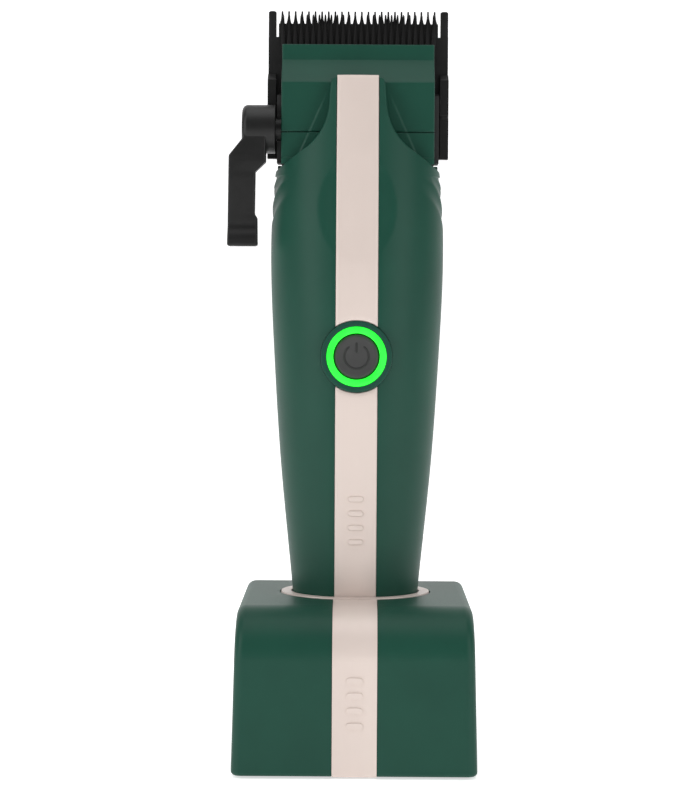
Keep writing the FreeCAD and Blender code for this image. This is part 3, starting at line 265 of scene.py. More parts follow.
def smooth_curve(heights, values):
    """A natural cubic spline through the given points, as a function of height."""
    x, y = np.array(heights), np.array(values)
    step = np.diff(x)
    count = len(x)
    system, right = np.eye(count), np.zeros(count)
    for i in range(1, count - 1):
        system[i, i - 1:i + 2] = step[i - 1], 2 * (step[i - 1] + step[i]), step[i]
        right[i] = 6 * ((y[i + 1] - y[i]) / step[i] - (y[i] - y[i - 1]) / step[i - 1])
    bend = np.linalg.solve(system, right)

    def at(height):
        i = int(np.clip(np.searchsorted(x, height) - 1, 0, count - 2))
        a, b = x[i + 1] - height, height - x[i]
        return ((bend[i] * a ** 3 + bend[i + 1] * b ** 3) / (6 * step[i])
                + (y[i] / step[i] - bend[i] * step[i] / 6) * a
                + (y[i + 1] / step[i] - bend[i + 1] * step[i] / 6) * b)
    return at


half_width = smooth_curve([row[0] for row in STAGES], [row[1] for row in STAGES])
half_depth = smooth_curve([row[0] for row in STAGES], [row[2] for row in STAGES])


def neck_reach(height):
    """Half width of the front casing's outline: slim neck, round flare, then the sloping shoulder."""
    flank = math.atan2(NECK_TOP - NECK_CORNER, NECK_SPREAD - NECK_HALF)
    slope = math.atan2(NECK_CORNER - REACH_LOW, REACH - NECK_SPREAD)
    half_turn = (flank - slope) / 2
    tangent = NECK_FLARE * math.tan(half_turn)
    flank_end = NECK_CORNER + tangent * math.sin(flank)
    slope_end = NECK_CORNER - tangent * math.sin(slope)
    if height > NECK_TOP - NECK_TIP:
        rise = min(height - (NECK_TOP - NECK_TIP), NECK_TIP)
        return NECK_HALF - NECK_TIP + math.sqrt(NECK_TIP ** 2 - rise ** 2)
    if height >= flank_end:
        return NECK_SPREAD - (height - NECK_CORNER) / math.tan(flank)
    if height <= slope_end:
        return NECK_SPREAD + (NECK_CORNER - height) / math.tan(slope)
    centre_x = NECK_SPREAD - tangent * math.cos(flank) + NECK_FLARE * math.sin(flank)
    centre_z = flank_end + NECK_FLARE * math.cos(flank)
    return centre_x - math.sqrt(max(NECK_FLARE ** 2 - (height - centre_z) ** 2, 0.0))


def make_piece(name, points, faces, body, slot, replaces=(), smooth_angle=30):
    """A mesh piece in the frame's metres from millimetre points, smooth except at sharp edges."""
    mesh = bpy.data.meshes.new(name)
    mesh.from_pydata([tuple(c * MM for c in point) for point in points], [], faces)
    model = bmesh.new()
    model.from_mesh(mesh)
    bmesh.ops.remove_doubles(model, verts=model.verts, dist=0.000001)
    bmesh.ops.dissolve_degenerate(model, edges=model.edges, dist=0.0000005)
    bmesh.ops.delete(model, geom=[edge for edge in model.edges if not edge.link_faces], context="EDGES")
    bmesh.ops.recalc_face_normals(model, faces=model.faces)
    model.to_mesh(mesh)
    model.free()
    piece = bpy.data.objects.new(name, mesh)
    bpy.context.scene.collection.objects.link(piece)
    shade(piece, smooth_angle)
    mesh.materials.append(MATERIALS[slot])
    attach(piece, body)
    if replaces:
        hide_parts(*replaces)
    return piece


def shade(piece, angle):
    """Smooth shading that stays sharp over edges steeper than the angle, in degrees."""
    mesh = piece.data
    mesh.polygons.foreach_set("use_smooth", [True] * len(mesh.polygons))
    mesh.set_sharp_from_angle(angle=math.radians(angle))


def loft(rows, capped=True):
    """Points and faces of a skin over closed rows of equal length, with flat ends."""
    count = len(rows[0])
    points = [point for row in rows for point in row]
    faces = []
    for r in range(len(rows) - 1):
        for i in range(count):
            j = (i + 1) % count
            faces.append((r * count + i, r * count + j, (r + 1) * count + j, (r + 1) * count + i))
    if capped:
        last = (len(rows) - 1) * count
        faces += [tuple(range(count)), tuple(last + i for i in range(count))]
    return points, faces


def shell_loft(rows):
    """Like loft, for rows that run out along one wall and back along the other: the ends are
    closed between the two walls."""
    points, faces = loft(rows, capped=False)
    count = len(rows[0])
    half = count // 2
    for start in (0, (len(rows) - 1) * count):
        for i in range(half - 1):
            faces.append((start + i, start + i + 1, start + count - 2 - i, start + count - 1 - i))
    return points, faces


def lathe(profile, centre_height, steps=128, axis_at=0.0):
    """Points and faces of a ring or disc about the button's axis from (radius, y) pairs."""
    rows = []
    for k in range(steps):
        turn = 2 * math.pi * k / steps
        across, rise = math.cos(turn), math.sin(turn)
        rows.append([(axis_at + r * across, y, centre_height + r * rise) for r, y in profile])
    count = len(profile)
    points = [point for row in rows for point in row]
    faces = []
    for k in range(steps):
        m = (k + 1) % steps
        for i in range(count):
            j = (i + 1) % count
            faces.append((k * count + i, k * count + j, m * count + j, m * count + i))
    return points, faces


def rounded_box(low, high, radius, steps=4):
    """Points around a rectangle with rounded corners, given its lowest and highest corners."""
    (x0, y0), (x1, y1) = low, high
    centres = ((x1 - radius, y1 - radius, 0), (x0 + radius, y1 - radius, 90), (x0 + radius, y0 + radius, 180),
               (x1 - radius, y0 + radius, 270))
    return [(cx + radius * math.cos(math.radians(start + 90 * k / steps)),
             cy + radius * math.sin(math.radians(start + 90 * k / steps)))
            for cx, cy, start in centres for k in range(steps + 1)]


def edge_fall(distance, radius):
    """How far a rounded edge drops at a distance from it."""
    if distance >= radius:
        return 0.0
    return radius - math.sqrt(max(radius ** 2 - (radius - distance) ** 2, 0.0))


def dimple_at(x, height):
    centre, wide, tall, deep = DIMPLE
    share = (x / wide) ** 2 + ((height - centre) / tall) ** 2
    return deep * math.sqrt(1 - share) if share < 1 else 0.0


def rib_at(x, y, height):
    """Depth of the finger grooves: three slanted scoops on each side, deepest at the silhouette."""
    wide = half_width(height)
    side = abs(x) / wide
    if side < RIB_FROM:
        return 0.0
    fade = (side - RIB_FROM) / (1 - RIB_FROM)
    narrowing = max(wide - TOP_HALF, 0.0) * min(max((height - NARROW_FROM) / 3, 0.0), 1.0) * fade
    place = (height - RIB_LOW + RIB_SLANT * y) / RIB_PITCH + 0.5
    if not 0 <= place <= RIB_COUNT:
        return narrowing
    within = place - math.floor(place) - 0.5
    return max(RIB_DEEP * fade * (1 - 4 * within ** 2), narrowing)


def heights_of_casing():
    """Rows of the casing, closer together where its outline turns quickly."""
    spans = ((BUTT_TOP, 118.0, 1.4), (118.0, 143.0, 0.5), (143.0, 158.0, 0.25), (158.0, 168.9, 0.5),
             (168.9, NECK_TOP, 0.15))
    rows = []
    for low, high, step in spans:
        count = max(int(round((high - low) / step)), 1)
        rows += [low + (high - low) * k / count for k in range(count)]
    rows += [NECK_TOP]
    return sorted(set(rows + [SHOULDER - 0.02, SHOULDER + 0.02]))


def surface_y(x, height, inset=0.0):
    """Distance of the casing's surface from its middle plane."""
    wide = half_width(height) - inset
    return (half_depth(height) - inset) * math.sqrt(max(1 - min(abs(x) / wide, 1.0) ** 2, 0.0))


def seam_turn(deep):
    """The angle from straight ahead at which an oval wall meets the parting seam."""
    return math.acos(PARTING / deep)


def front_row(height):
    """One level of the front casing: its outer wall with the stripe's channel, then its inner wall."""
    wide, deep = half_width(height), half_depth(height)
    limit = min(neck_reach(height), wide)
    end = min(math.asin(limit / wide), seam_turn(deep))
    groove = STRIPE_HALF + GROOVE
    start = math.asin(groove / wide)
    edge = 0.35 if height > SHOULDER + 4 else 0.12
    border = min(0.03, (end - start) / 2)
    turns = list(np.linspace(start, end - border, 44))
    turns += [end - border * (1 - k / 6) ** 2 for k in range(1, 7)]
    wall = []
    for turn in turns:
        x, y = wide * math.sin(turn), deep * math.cos(turn)
        drop = dimple_at(x, height) + rib_at(x, -y, height)
        drop += edge_fall((end - turn) * math.hypot(wide * math.cos(turn), deep * math.sin(turn)), edge)
        drop += edge_fall((turn - start) * wide, 0.15)
        wall.append((turn, x, y - drop) if height > SHOULDER - 3 else
                    (turn, (wide - drop) * math.sin(turn), (deep - drop) * math.cos(turn)))
    bed = [(math.asin(x / wide), x, surface_y(x, height) - STRIPE_DEEP)
           for x in np.linspace(-groove, groove, 13)]
    front = [(-turn, -x, y) for turn, x, y in reversed(wall)] + bed + wall
    inner_wide, inner_deep = wide - WALL, deep - WALL
    inner_end = min(math.asin(min(limit / inner_wide, 1.0)), seam_turn(inner_deep))
    inner = []
    for turn, _, y in front:
        if height > SHOULDER:
            inner.append((wide * math.sin(turn), min(LID_FRONT, y - 0.1)))
        else:
            inside = turn * inner_end / end
            inner.append((inner_wide * math.sin(inside), inner_deep * math.cos(inside)))
    return [(x, -y, height) for _, x, y in front] + [(x, -y, height) for x, y in reversed(inner)]


def rear_row(height):
    """One level of the rear casing: outer wall and inner wall."""
    wide, deep = half_width(height), half_depth(height)
    inner_wide, inner_deep = wide - WALL, deep - WALL
    outer, inner = [], []
    top_edge = edge_fall(SHOULDER - height, 0.15)
    for share in np.linspace(-1, 1, 97):
        turn = share * seam_turn(deep)
        drop = rib_at(wide * math.sin(turn), deep * math.cos(turn), height) + top_edge
        drop += edge_fall((1 - abs(share)) * seam_turn(deep) * deep, 0.12)
        outer.append(((wide - drop) * math.sin(turn), (deep - drop) * math.cos(turn)))
        inside = share * seam_turn(inner_deep)
        inner.append((inner_wide * math.sin(inside), inner_deep * math.cos(inside)))
    return [(x, y, height) for x, y in outer] + [(x, y, height) for x, y in reversed(inner)]


def subtract(piece, tool):
    """Takes a closed tool shape out of a piece for good, and removes the tool."""
    hole = piece.modifiers.new(tool.name, "BOOLEAN")
    hole.operation = "DIFFERENCE"
    hole.solver = "EXACT"
    hole.object = tool
    bpy.context.view_layer.update()
    cut = bpy.data.meshes.new_from_object(piece.evaluated_get(bpy.context.evaluated_depsgraph_get()))
    piece.modifiers.clear()
    piece.data = cut
    bpy.data.objects.remove(tool)


def bore(piece, name, radius, centre, depth):
    """Cuts a round hole along the depth axis through a piece."""
    mesh = bpy.data.meshes.new(name)
    model = bmesh.new()
    place = Matrix.Translation(Vector(centre) * MM) @ Matrix.Rotation(math.pi / 2, 4, "X")
    bmesh.ops.create_cone(model, cap_ends=True, segments=128, radius1=radius * MM, radius2=radius * MM,
                          depth=depth * MM, matrix=place)
    model.to_mesh(mesh)
    model.free()
    tool = bpy.data.objects.new(name, mesh)
    bpy.context.scene.collection.objects.link(tool)
    subtract(piece, tool)


def build_casing():
    rows = [front_row(height) for height in heights_of_casing()]
    front = make_piece("casing_front", *shell_loft(rows), "clipper", "shell_green", ["front_shell"])
    bore(front, "button_bore", BEZEL_RADIUS + 0.1, (0, -18, BUTTON_HEIGHT), 16)
    shade(front, 30)
    heights = [h for h in heights_of_casing() if h < SHOULDER - 0.1]
    heights += [SHOULDER - 0.15 + 0.05 * k for k in range(4)]
    rear = make_piece("casing_rear", *shell_loft([rear_row(h) for h in sorted(set(heights))]), "clipper",
                      "shell_green", ["rear_shell"])
    for side in (-1, 1):
        for low, x in ((60.0, 12.7), (118.0, 16.75)):
            bore(rear, "screw_bore", 2.1, (side * x, 16, low), 20)
    shade(rear, 30)


# ---- stripes --------------------------------------------------------------------------------------


def stripe_row(height, back, ends=0.0):
    """One level of an inlaid stripe with chamfered long edges."""
    chamfer = 0.28
    xs = [STRIPE_HALF, STRIPE_HALF - 0.04, STRIPE_HALF - chamfer * 0.6, STRIPE_HALF - chamfer]
    falls = [chamfer * 0.75, chamfer * 0.55, chamfer * 0.12, 0.0]
    xs += [(STRIPE_HALF - chamfer) * (1 - k / 8) for k in range(1, 9)]
    falls += [0.0] * 8
    half = []
    for x, fall in zip(xs, falls):
        y = surface_y(x, height) - dimple_at(x, height) * 0.8 - fall - ends
        half.append((x, y))
    front = [(-x, y) for x, y in half] + [(x, y) for x, y in reversed(half[:-1])]
    behind = [(x, max(surface_y(x, height) - back, LID_FRONT + 0.02)) for x, _ in reversed(front)]
    return [(x, -y, height) for x, y in front] + [(x, -y, height) for x, y in behind]


def stripe_rows(low, high, arc_at):
    """Levels of a stripe; at the end by the button they bend gradually into a concave arc."""
    step = 1.2
    count = int((high - low) / step)
    heights = [low + 0.3 * (k / 3) for k in range(3)]
    heights += [low + (high - low) * k / count for k in range(1, count)]
    heights = sorted(set(heights + [high - 0.3 * (k / 3) for k in range(3)]))
    rows = []
    for height in heights:
        near = min(height - low, high - height)
        rows.append(stripe_row(height, STRIPE_DEEP - 0.12, edge_fall(near, 0.25)))
    reach = 8.0
    centre = BUTTON_HEIGHT
    bent = []
    for row, height in zip(rows, heights):
        level = []
        for x, y, z in row:
            if arc_at == "low":
                share = max(0.0, 1 - (height - low) / reach)
                target = centre + math.sqrt((BEZEL_RADIUS + GROOVE + (height - low)) ** 2 - x ** 2)
                top = centre + BEZEL_RADIUS + GROOVE + (height - low)
            else:
                share = max(0.0, 1 - (high - height) / reach)
                target = centre - math.sqrt((BEZEL_RADIUS + GROOVE + (high - height)) ** 2 - x ** 2)
                top = centre - BEZEL_RADIUS - GROOVE - (high - height)
            level.append((x, y, z + (target - top) * share))
        bent.append(level)
    return bent


def pill(points, faces, centre_z, front_at, half_length, radius, proud):
    """Adds a raised pill-shaped bar with a domed edge, lying across the stripe."""
    steps, rings = 12, 4
    outline = []
    for side in (1, -1):
        for k in range(steps + 1):
            turn = math.pi * k / steps - math.pi / 2
            along = half_length - radius + radius * math.cos(turn)
            outline.append((side * along, side * radius * math.sin(turn)))
    base = len(points)
    count = len(outline)
    shrink = [(1.0, -0.4)] + [(1 - 0.35 * (k / rings) ** 2, proud * math.sin(math.pi / 2 * k / rings))
                              for k in range(rings + 1)]
    for scale, rise in shrink:
        inset = radius * (1 - scale)
        for x, z in outline:
            length = math.hypot(x - math.copysign(half_length - radius, x), z) or 1
            nx, nz = (x - math.copysign(half_length - radius, x)) / length, z / length
            px, pz = x - nx * inset, z - nz * inset
            points.append((px, front_at(px, centre_z + pz) - rise, centre_z + pz))
    for r in range(len(shrink) - 1):
        for i in range(count):
            j = (i + 1) % count
            faces.append((base + r * count + i, base + r * count + j, base + (r + 1) * count + j,
                          base + (r + 1) * count + i))
    faces.append(tuple(base + (len(shrink) - 1) * count + i for i in range(count)))
    faces.append(tuple(base + i for i in reversed(range(count))))


PILL_COUNT = 4
PILL_PITCH = 3.6
PILL_HALF = 1.95
PILL_RADIUS = 0.75
PILL_LOW = 54.4
PILL_PROUD = 0.5
STRIPE_LOW = 26.3
STRIPE_HIGH = 170.63


def build_stripes():
    top = stripe_rows(BUTTON_HEIGHT + BEZEL_RADIUS + GROOVE, STRIPE_HIGH, "low")
    make_piece("stripe_inlay_upper", *loft(top), "clipper", "stripe_champagne", ["stripe_upper"], 40)
    points, faces = loft(stripe_rows(STRIPE_LOW, BUTTON_HEIGHT - BEZEL_RADIUS - GROOVE, "high"))
    for k in range(PILL_COUNT):
        pill(points, faces, PILL_LOW + PILL_PITCH * k, lambda x, z: -surface_y(x, z), PILL_HALF, PILL_RADIUS,
             PILL_PROUD)
    make_piece("stripe_inlay_lower", points, faces, "clipper", "stripe_champagne", ["stripe_lower"], 40)


# ---- power button ---------------------------------------------------------------------------------


def build_button():
    face = half_depth(BUTTON_HEIGHT)
    bezel = rounded_box((LAMP_OUTER + 0.04, -face - 0.2), (BEZEL_RADIUS, -face + 4.0), 0.3)
    make_piece("lamp_bezel", *lathe(bezel, BUTTON_HEIGHT), "clipper", "shell_green", ["button_bezel"])
    lamp = rounded_box((LAMP_INNER, -face - 0.12), (LAMP_OUTER, -face + 2.4), 0.22)
    make_piece("lamp_ring", *lathe(lamp, BUTTON_HEIGHT), "clipper", "lamp_green", ["led_ring"])
    dish = 0.22
    front = -face + 0.3
    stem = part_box("power_button")[1].y / MM
    profile = [(0.0, front + dish)]
    profile += [(CAP_RADIUS * 0.92 * k / 10, front + dish * (1 - (k / 10) ** 2)) for k in range(1, 11)]
    profile += [(CAP_RADIUS - 0.2, front + 0.08), (CAP_RADIUS - 0.05, front + 0.2), (CAP_RADIUS, front + 0.4),
                (CAP_RADIUS, front + 1.6), (1.6, front + 1.6), (1.6, stem), (0.0, stem)]
    rows, faces = lathe(profile, BUTTON_HEIGHT)
    make_piece("power_cap", rows, faces, "button", "button_grey", ["power_button"])
    build_power_mark(front + dish * 0.8)


def build_power_mark(front):
    """The usual on-off sign, as a thin raised line: an open ring and an upright bar."""
    radius, gap, line = 3.0, math.radians(34), 0.3
    arc = [(radius * math.sin(turn), radius * math.cos(turn))
           for turn in np.linspace(gap, 2 * math.pi - gap, 61)]
    bar = [(0.0, 0.9 + 2.7 * k / 8) for k in range(9)]
    points, faces = [], []
    for path in (arc, bar):
        rows = []
        for i, (x, z) in enumerate(path):
            ahead = path[min(i + 1, len(path) - 1)]
            before = path[max(i - 1, 0)]
            along = Vector((ahead[0] - before[0], ahead[1] - before[1])).normalized()
            end = 0.35 if i in (0, len(path) - 1) else 1.0
            level = []
            for k in range(12):
                turn = 2 * math.pi * k / 12
                across, rise = line * end * math.cos(turn), 0.16 * end * math.sin(turn)
                level.append((x - along.y * across, front - rise, BUTTON_HEIGHT + z + along.x * across))
            rows.append(level)
        more, quads = loft(rows)
        base = len(points)
        points += more
        faces += [tuple(base + i for i in face) for face in quads]
    make_piece("power_mark", points, faces, "button", "black_plastic", (), 50)


# ---- head -----------------------------------------------------------------------------------------

LID_HALF = 19.2
LID_FACE = -6.6
LID_BACK = 2.4
LID_SMOOTH = 28
CREASE_TOP = 167.2
CREASE_FOOT = 7.75
CREASE_LEAN = 0.45
CREASE_DEEP = 0.26
CREASE_RAMP = 0.55
CREASE_TAPER = 5.0


def crease_fall(x, height):
    """Inside a slanting crease beside the neck the lid's face comes a little forward."""
    inside = CREASE_FOOT + (CREASE_TOP - height) * CREASE_LEAN - abs(x)
    taper = min(max((CREASE_TOP - height) / CREASE_TAPER, 0.0), 1.0)
    return -CREASE_DEEP * taper * min(max(inside / CREASE_RAMP, 0.0), 1.0)


def section_rows(half, path_at, corner):
    """Closed cross sections along X whose front corners are rounded."""
    ends = [half - corner + corner * math.sin(math.pi / 2 * k / 5) for k in range(6)]
    inner = np.linspace(0, half - corner, 96)[:-1]
    xs = [-x for x in reversed(ends)] + [-x for x in reversed(inner[1:])] + list(inner) + ends
    return [[(x, y, z) for y, z in path_at(x, edge_fall(half - abs(x), corner))] for x in xs]


def lid_path(x, fall):
    """Side outline of the lid at one X: upright face, slope, lip, rounded top and open back."""
    low, turn_z, lip_z, top = 156.72, 168.9, 175.2, 179.1
    lip_y = -1.6
    path = []
    for z in np.linspace(low, turn_z, 44):
        rim = edge_fall(z - low, 0.2)
        path.append((LID_FACE + fall + rim + crease_fall(x, z), z))
    face = LID_FACE + crease_fall(x, turn_z)
    path += [(face + fall + 0.12, turn_z + 0.25)]
    for share in (0.1, 0.35, 0.65, 0.9):
        path.append((face + fall + (lip_y - face) * share, turn_z + (lip_z - turn_z) * share))
    path += [(lip_y + fall, lip_z), (lip_y + fall, lip_z + 0.4), (lip_y + fall, top - 0.4 - fall * 0.5),
             (lip_y + fall + 0.12, top - 0.12 - fall * 0.5), (lip_y + fall + 0.4, top - fall * 0.5),
             (LID_BACK, top - fall * 0.5), (LID_BACK, low)]
    return path


def collar_path(x, fall):
    """Side outline of the collar at one X, with a thin skirt in front of the frame's base."""
    low, base, top = 148.62, 150.22, 156.54
    skirt, behind = LID_FACE - 0.25, LID_FACE - 0.02
    path = [(skirt + min(fall, 0.15), low), (skirt + min(fall, 0.15), base - 0.1)]
    for z in np.linspace(base + 0.12, top, 28):
        rim = edge_fall(top - z, 0.2)
        path.append((LID_FACE + fall + rim + crease_fall(x, z), z))
    return path + [(LID_BACK, top), (LID_BACK, base), (behind, base), (behind, low)]


def cut_away(piece, name, points, faces):
    """Takes a shape given by its points and faces out of a piece."""
    subtract(piece, make_piece(name, points, faces, "clipper", "inner_plastic"))
    shade(piece, LID_SMOOTH)


def prism(outline, low, high, axis="X"):
    """A straight bar between two places on an axis with the given outline across it."""
    if axis == "X":
        return loft([[(low, y, z) for y, z in outline], [(high, y, z) for y, z in outline]])
    return loft([[(x, low, z) for x, z in outline], [(x, high, z) for x, z in outline]])


def disc_outline(centre, radius, steps=64):
    return [(centre[0] + radius * math.cos(2 * math.pi * k / steps),
             centre[1] + radius * math.sin(2 * math.pi * k / steps)) for k in range(steps)]


LEVER_AXIS = (-2.6, 157.5)
SHAFT_HOLE = 3.25
LID_WALL = 1.5
LID_EDGE = 0.3
LID_ROOM = LID_FACE + 1.6


def build_head():
    shaft = prism(disc_outline(LEVER_AXIS, SHAFT_HOLE), -LID_HALF - 1, 2 - LID_HALF)
    lid = make_piece("lid_cover", *loft(section_rows(LID_HALF, lid_path, LID_EDGE)), "clipper", "shell_green",
                     ["head_lid"], LID_SMOOTH)
    room = [(LID_BACK + 1, 156), (LID_ROOM, 156), (LID_ROOM, 168.3), (-0.1, 174.7), (-0.1, 177.6),
            (LID_BACK + 1, 177.6)]
    cut_away(lid, "lid_room", *prism(room, LID_WALL - LID_HALF, LID_HALF - LID_WALL))
    cut_away(lid, "lid_shaft_hole", *shaft)
    collar = make_piece("lid_collar", *loft(section_rows(LID_HALF, collar_path, LID_EDGE)), "clipper",
                        "shell_green", ["head_collar"], LID_SMOOTH)
    room = [(LID_BACK + 1, 149), (LID_ROOM, 149), (LID_ROOM, 158), (LID_BACK + 1, 158)]
    cut_away(collar, "collar_room", *prism(room, LID_WALL - LID_HALF, LID_HALF - LID_WALL))
    cut_away(collar, "collar_shaft_hole", *shaft)


def tooth_rows(x, low, tip, width_at, front, back, tip_front, tip_back, ridge):
    """One blade tooth: its width follows a curve and it thins towards the tip."""
    rows = []
    for share in (0, 0.08, 0.18, 0.3, 0.45, 0.6, 0.75, 0.88, 0.96, 1.0):
        z = low + (tip - low) * share
        half = width_at(share) / 2
        near = front + (tip_front - front) * share
        far = back + (tip_back - back) * share
        if share == 1.0:
            half *= 0.55
        rows.append([(x - half, far, z), (x - half, near + ridge, z), (x - half * 0.35, near, z),
                     (x + half * 0.35, near, z), (x + half, near + ridge, z), (x + half, far, z)])
    return rows


def comb(name, body, node, teeth, plates):
    """A toothed blade in one mesh: bevelled plates and the rows of teeth that stand on them."""
    points, faces = [], []
    shapes = [[[(x, y, z) for y, z in plate["outline"]] for x in plate["xs"]] for plate in plates]
    for shape in shapes + [tooth(x) for tooth, x in teeth]:
        more, quads = loft(shape)
        base = len(points)
        points += more
        faces += [tuple(base + i for i in face) for face in quads]
    return make_piece(name, points, faces, body, "black_steel", [node], 25)


GAP_BESIDE_CORNER = 3.3
FIXED_TEETH = 24
FIXED_REACH = 3.3
CUTTER_TEETH = 26
CUTTER_REACH = 8.2


def build_blades():
    low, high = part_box("fixed_blade")
    half, foot, tip = high.x / MM, low.z / MM, high.z / MM
    near, far = low.y / MM, high.y / MM
    root = tip - FIXED_REACH
    count, corner = FIXED_TEETH, 2.0
    reach = half - corner - 1.5
    pitch = 2 * reach / (count - 1)
    gap = root - GAP_BESIDE_CORNER
    block = {"xs": (-half, -half + 0.2, half - 0.2, half),
             "outline": [(near, foot), (near, gap), (far - 0.6, gap), (far, gap - 2), (far, foot + 0.4),
                         (far - 0.4, foot)]}
    edge = half - corner - 0.6
    plate = {"xs": (-edge, -edge + 0.2, edge - 0.2, edge),
             "outline": [(near + 0.02, gap - 1), (near + 0.02, root + 0.1), (near + 1.3, root + 0.1),
                         (far - 0.1, gap), (far - 0.1, gap - 1)]}

    def fine(x):
        return tooth_rows(x, root - 0.4, tip, lambda s: 0.45 + (pitch - 0.45) * max(0.0, 1 - s * 1.05) ** 2.2,
                          near + 0.02, near + 1.6, near + 0.25, near + 0.8, 0.15)

    def stout(x):
        return tooth_rows(x, gap - 0.5, tip, lambda s: corner - 0.04, near + 0.02, far - 0.3, near + 0.2,
                          far - 0.9, 0.12)

    comb("blade_fixed", "blade_slide", "fixed_blade",
         [(fine, pitch * k - reach) for k in range(count)] +
         [(stout, side * (half - corner / 2)) for side in (-1, 1)], (block, plate))
    low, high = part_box("moving_cutter")
    half, foot, tip = high.x / MM, low.z / MM, high.z / MM
    near, far = low.y / MM, high.y / MM
    root = tip - CUTTER_REACH
    count = CUTTER_TEETH
    reach = half - 0.45
    pitch = 2 * reach / (count - 1)
    plate = {"xs": (-half, -half + 0.2, half - 0.2, half),
             "outline": [(near, foot + 0.3), (near, root - 1.2), (near + 0.3, root + 0.05),
                         (far, root + 0.05), (far, foot), (near + 0.3, foot)]}

    def cutting(x):
        return tooth_rows(x, root - 0.3, tip, lambda s: pitch * (0.66 - 0.4 * s ** 2.2), near + 0.25, far,
                          far - 0.6, far, 0.3)

    comb("blade_cutter", "cutter", "moving_cutter", [(cutting, pitch * k - reach) for k in range(count)],
         (plate,))


ARM_CORNER = 0.45
ARM_BACK = -3.7
# Outline of the arm at falling heights: height, place across or in depth, in millimetres.
ARM_LEFT = ((157.0, -28.8), (155.0, -28.8), (150.6, -32.3), (127.9, -32.62))
ARM_RIGHT = ((157.0, -23.0), (149.0, -23.0), (146.5, -25.6), (136.0, -25.75), (135.0, -25.1), (127.9, -25.0))
ARM_FRONT = ((157.0, -8.3), (145.0, -8.2), (133.2, -7.4), (132.4, -7.5), (130.8, -8.3), (129.9, -8.55),
             (127.9, -8.6))


def level_of(table, height):
    """Reads a falling table of (height, value) pairs at a height."""
    heights = [row[0] for row in table]
    values = [row[1] for row in table]
    return float(np.interp(-height, [-h for h in heights], values))


def build_lever():
    """The hub with its domed end, and the arm that hangs from it."""
    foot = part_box("taper_lever")[0].z / MM
    rows = []
    heights = sorted(set(list(np.linspace(foot, 157.0, 70)) + [foot + 0.1, foot + 0.25, foot + 0.5]))
    for z in heights:
        fall = edge_fall(z - foot, 0.6)
        left, right = level_of(ARM_LEFT, z) + fall, level_of(ARM_RIGHT, z) - fall
        front = level_of(ARM_FRONT, z) + fall
        back = ARM_BACK - fall
        rows.append([(x, y, z) for x, y in rounded_box((left, front), (right, back), ARM_CORNER)])
    points, faces = loft(rows)
    inner, outer, radius, dome = -20.7, -29.1, 6.1, 1.5
    profile = [(inner, radius - 0.1), (inner - 0.1, radius), (outer + dome, radius)]
    for k in range(1, 9):
        turn = math.pi / 2 * k / 8
        profile.append((outer + dome - dome * math.sin(turn), radius - dome + dome * math.cos(turn)))
    rings = [[(x, *point) for point in disc_outline(LEVER_AXIS, r, 96)] for x, r in profile]
    more, quads = loft(rings)
    base = len(points)
    points += more
    faces += [tuple(base + i for i in face) for face in quads]
    make_piece("lever_handle", points, faces, "lever", "black_steel", ["taper_lever"], 32)


# ---- room, lights and camera ----------------------------------------------------------------------


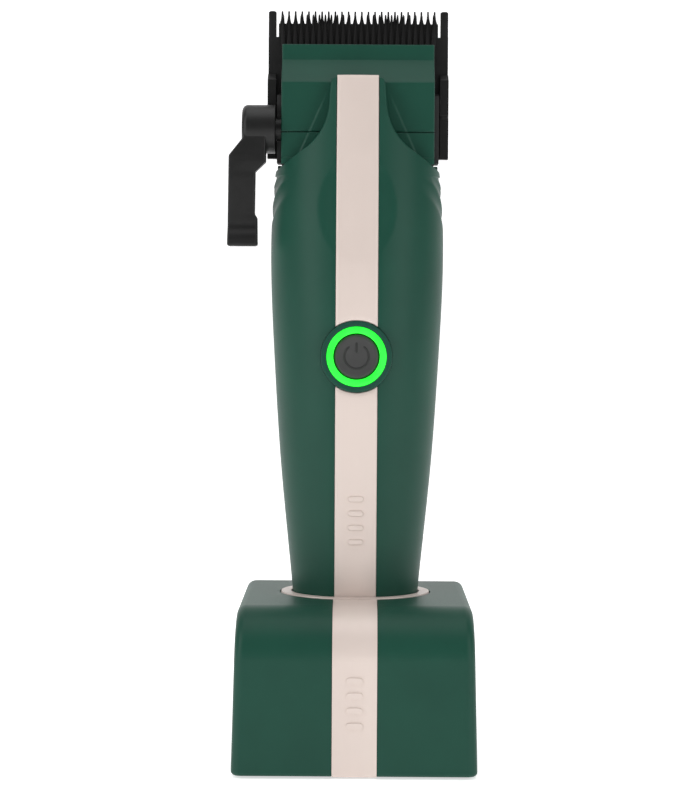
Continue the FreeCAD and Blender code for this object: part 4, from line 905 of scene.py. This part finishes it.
def build_room():
    """A pale floor that runs up into a backdrop, all one sheet."""
    wide, near, far, high, bend = 3.0, -1.6, 1.4, 2.6, 0.6
    profile = [(near, 0.0)] + [(far - bend + bend * math.sin(turn), bend - bend * math.cos(turn))
                               for turn in np.linspace(0, math.pi / 2, 17)] + [(far, high)]
    mesh = bpy.data.meshes.new("room")
    points = [(x, y, z) for x in (-wide, wide) for y, z in profile]
    count = len(profile)
    mesh.from_pydata(points, [], [(i, i + 1, count + i + 1, count + i) for i in range(count - 1)])
    mesh.polygons.foreach_set("use_smooth", [True] * len(mesh.polygons))
    room = bpy.data.objects.new("room", mesh)
    bpy.context.scene.collection.objects.link(room)
    graph = Graph("room_white")
    graph.link(graph.blend(graph.spread(graph.noise(1.5), 0, 1), tone(250, 250, 250), tone(253, 253, 253)),
               graph.shader.inputs["Base Color"])
    graph.set(Roughness=0.9, Emission_Color=(1, 1, 1, 1), Emission_Strength=0.58)
    mesh.materials.append(graph.material)


def soft_light(name, place, target, size, power):
    lamp = bpy.data.lights.new(name, "AREA")
    lamp.shape = "RECTANGLE"
    lamp.size, lamp.size_y = size
    lamp.energy = power
    item = bpy.data.objects.new(name, lamp)
    item.location = place
    item.rotation_euler = (Vector(target) - Vector(place)).to_track_quat("-Z", "Y").to_euler()
    bpy.context.scene.collection.objects.link(item)


def light_scene():
    world = bpy.data.worlds.new("studio")
    world.use_nodes = True
    world.node_tree.nodes["Background"].inputs["Color"].default_value = (1, 1, 1, 1)
    world.node_tree.nodes["Background"].inputs["Strength"].default_value = 0.22
    bpy.context.scene.world = world
    bpy.context.scene.view_settings.view_transform = "Standard"
    middle = (0, 0, 0.1)
    soft_light("left_panel", (-0.75, -0.5, 0.45), middle, (0.35, 0.9), 3.6)
    soft_light("right_panel", (0.75, -0.55, 0.35), middle, (0.35, 0.9), 2.7)
    soft_light("top_panel", (0, -0.1, 0.95), middle, (0.8, 0.8), 3.2)


def place_camera():
    """A long lens a little above the middle of the object, tilted slightly down."""
    pitch, yaw, roll = math.radians(2.203), math.radians(-0.159), math.radians(0.337)
    ahead = Vector((math.sin(yaw) * math.cos(pitch), math.cos(yaw) * math.cos(pitch), -math.sin(pitch)))
    right = Vector((math.cos(yaw), -math.sin(yaw), 0))
    up = right.cross(ahead)
    across = right * math.cos(roll) + up * math.sin(roll)
    rise = up * math.cos(roll) - right * math.sin(roll)
    camera = bpy.data.objects.new("camera", bpy.data.cameras.new("camera"))
    camera.data.sensor_width = 36
    camera.data.lens = 99.64
    camera.data.clip_start = 0.01
    turn = Matrix((across, rise, -ahead)).transposed()
    camera.matrix_world = Matrix.Translation(Vector((-0.05, -557.2, 111.74)) * MM) @ turn.to_4x4()
    bpy.context.scene.collection.objects.link(camera)
    bpy.context.scene.camera = camera


dress_frame()
build_casing()
build_stripes()
build_button()
build_head()
build_blades()
build_lever()
build_room()
light_scene()
place_camera()
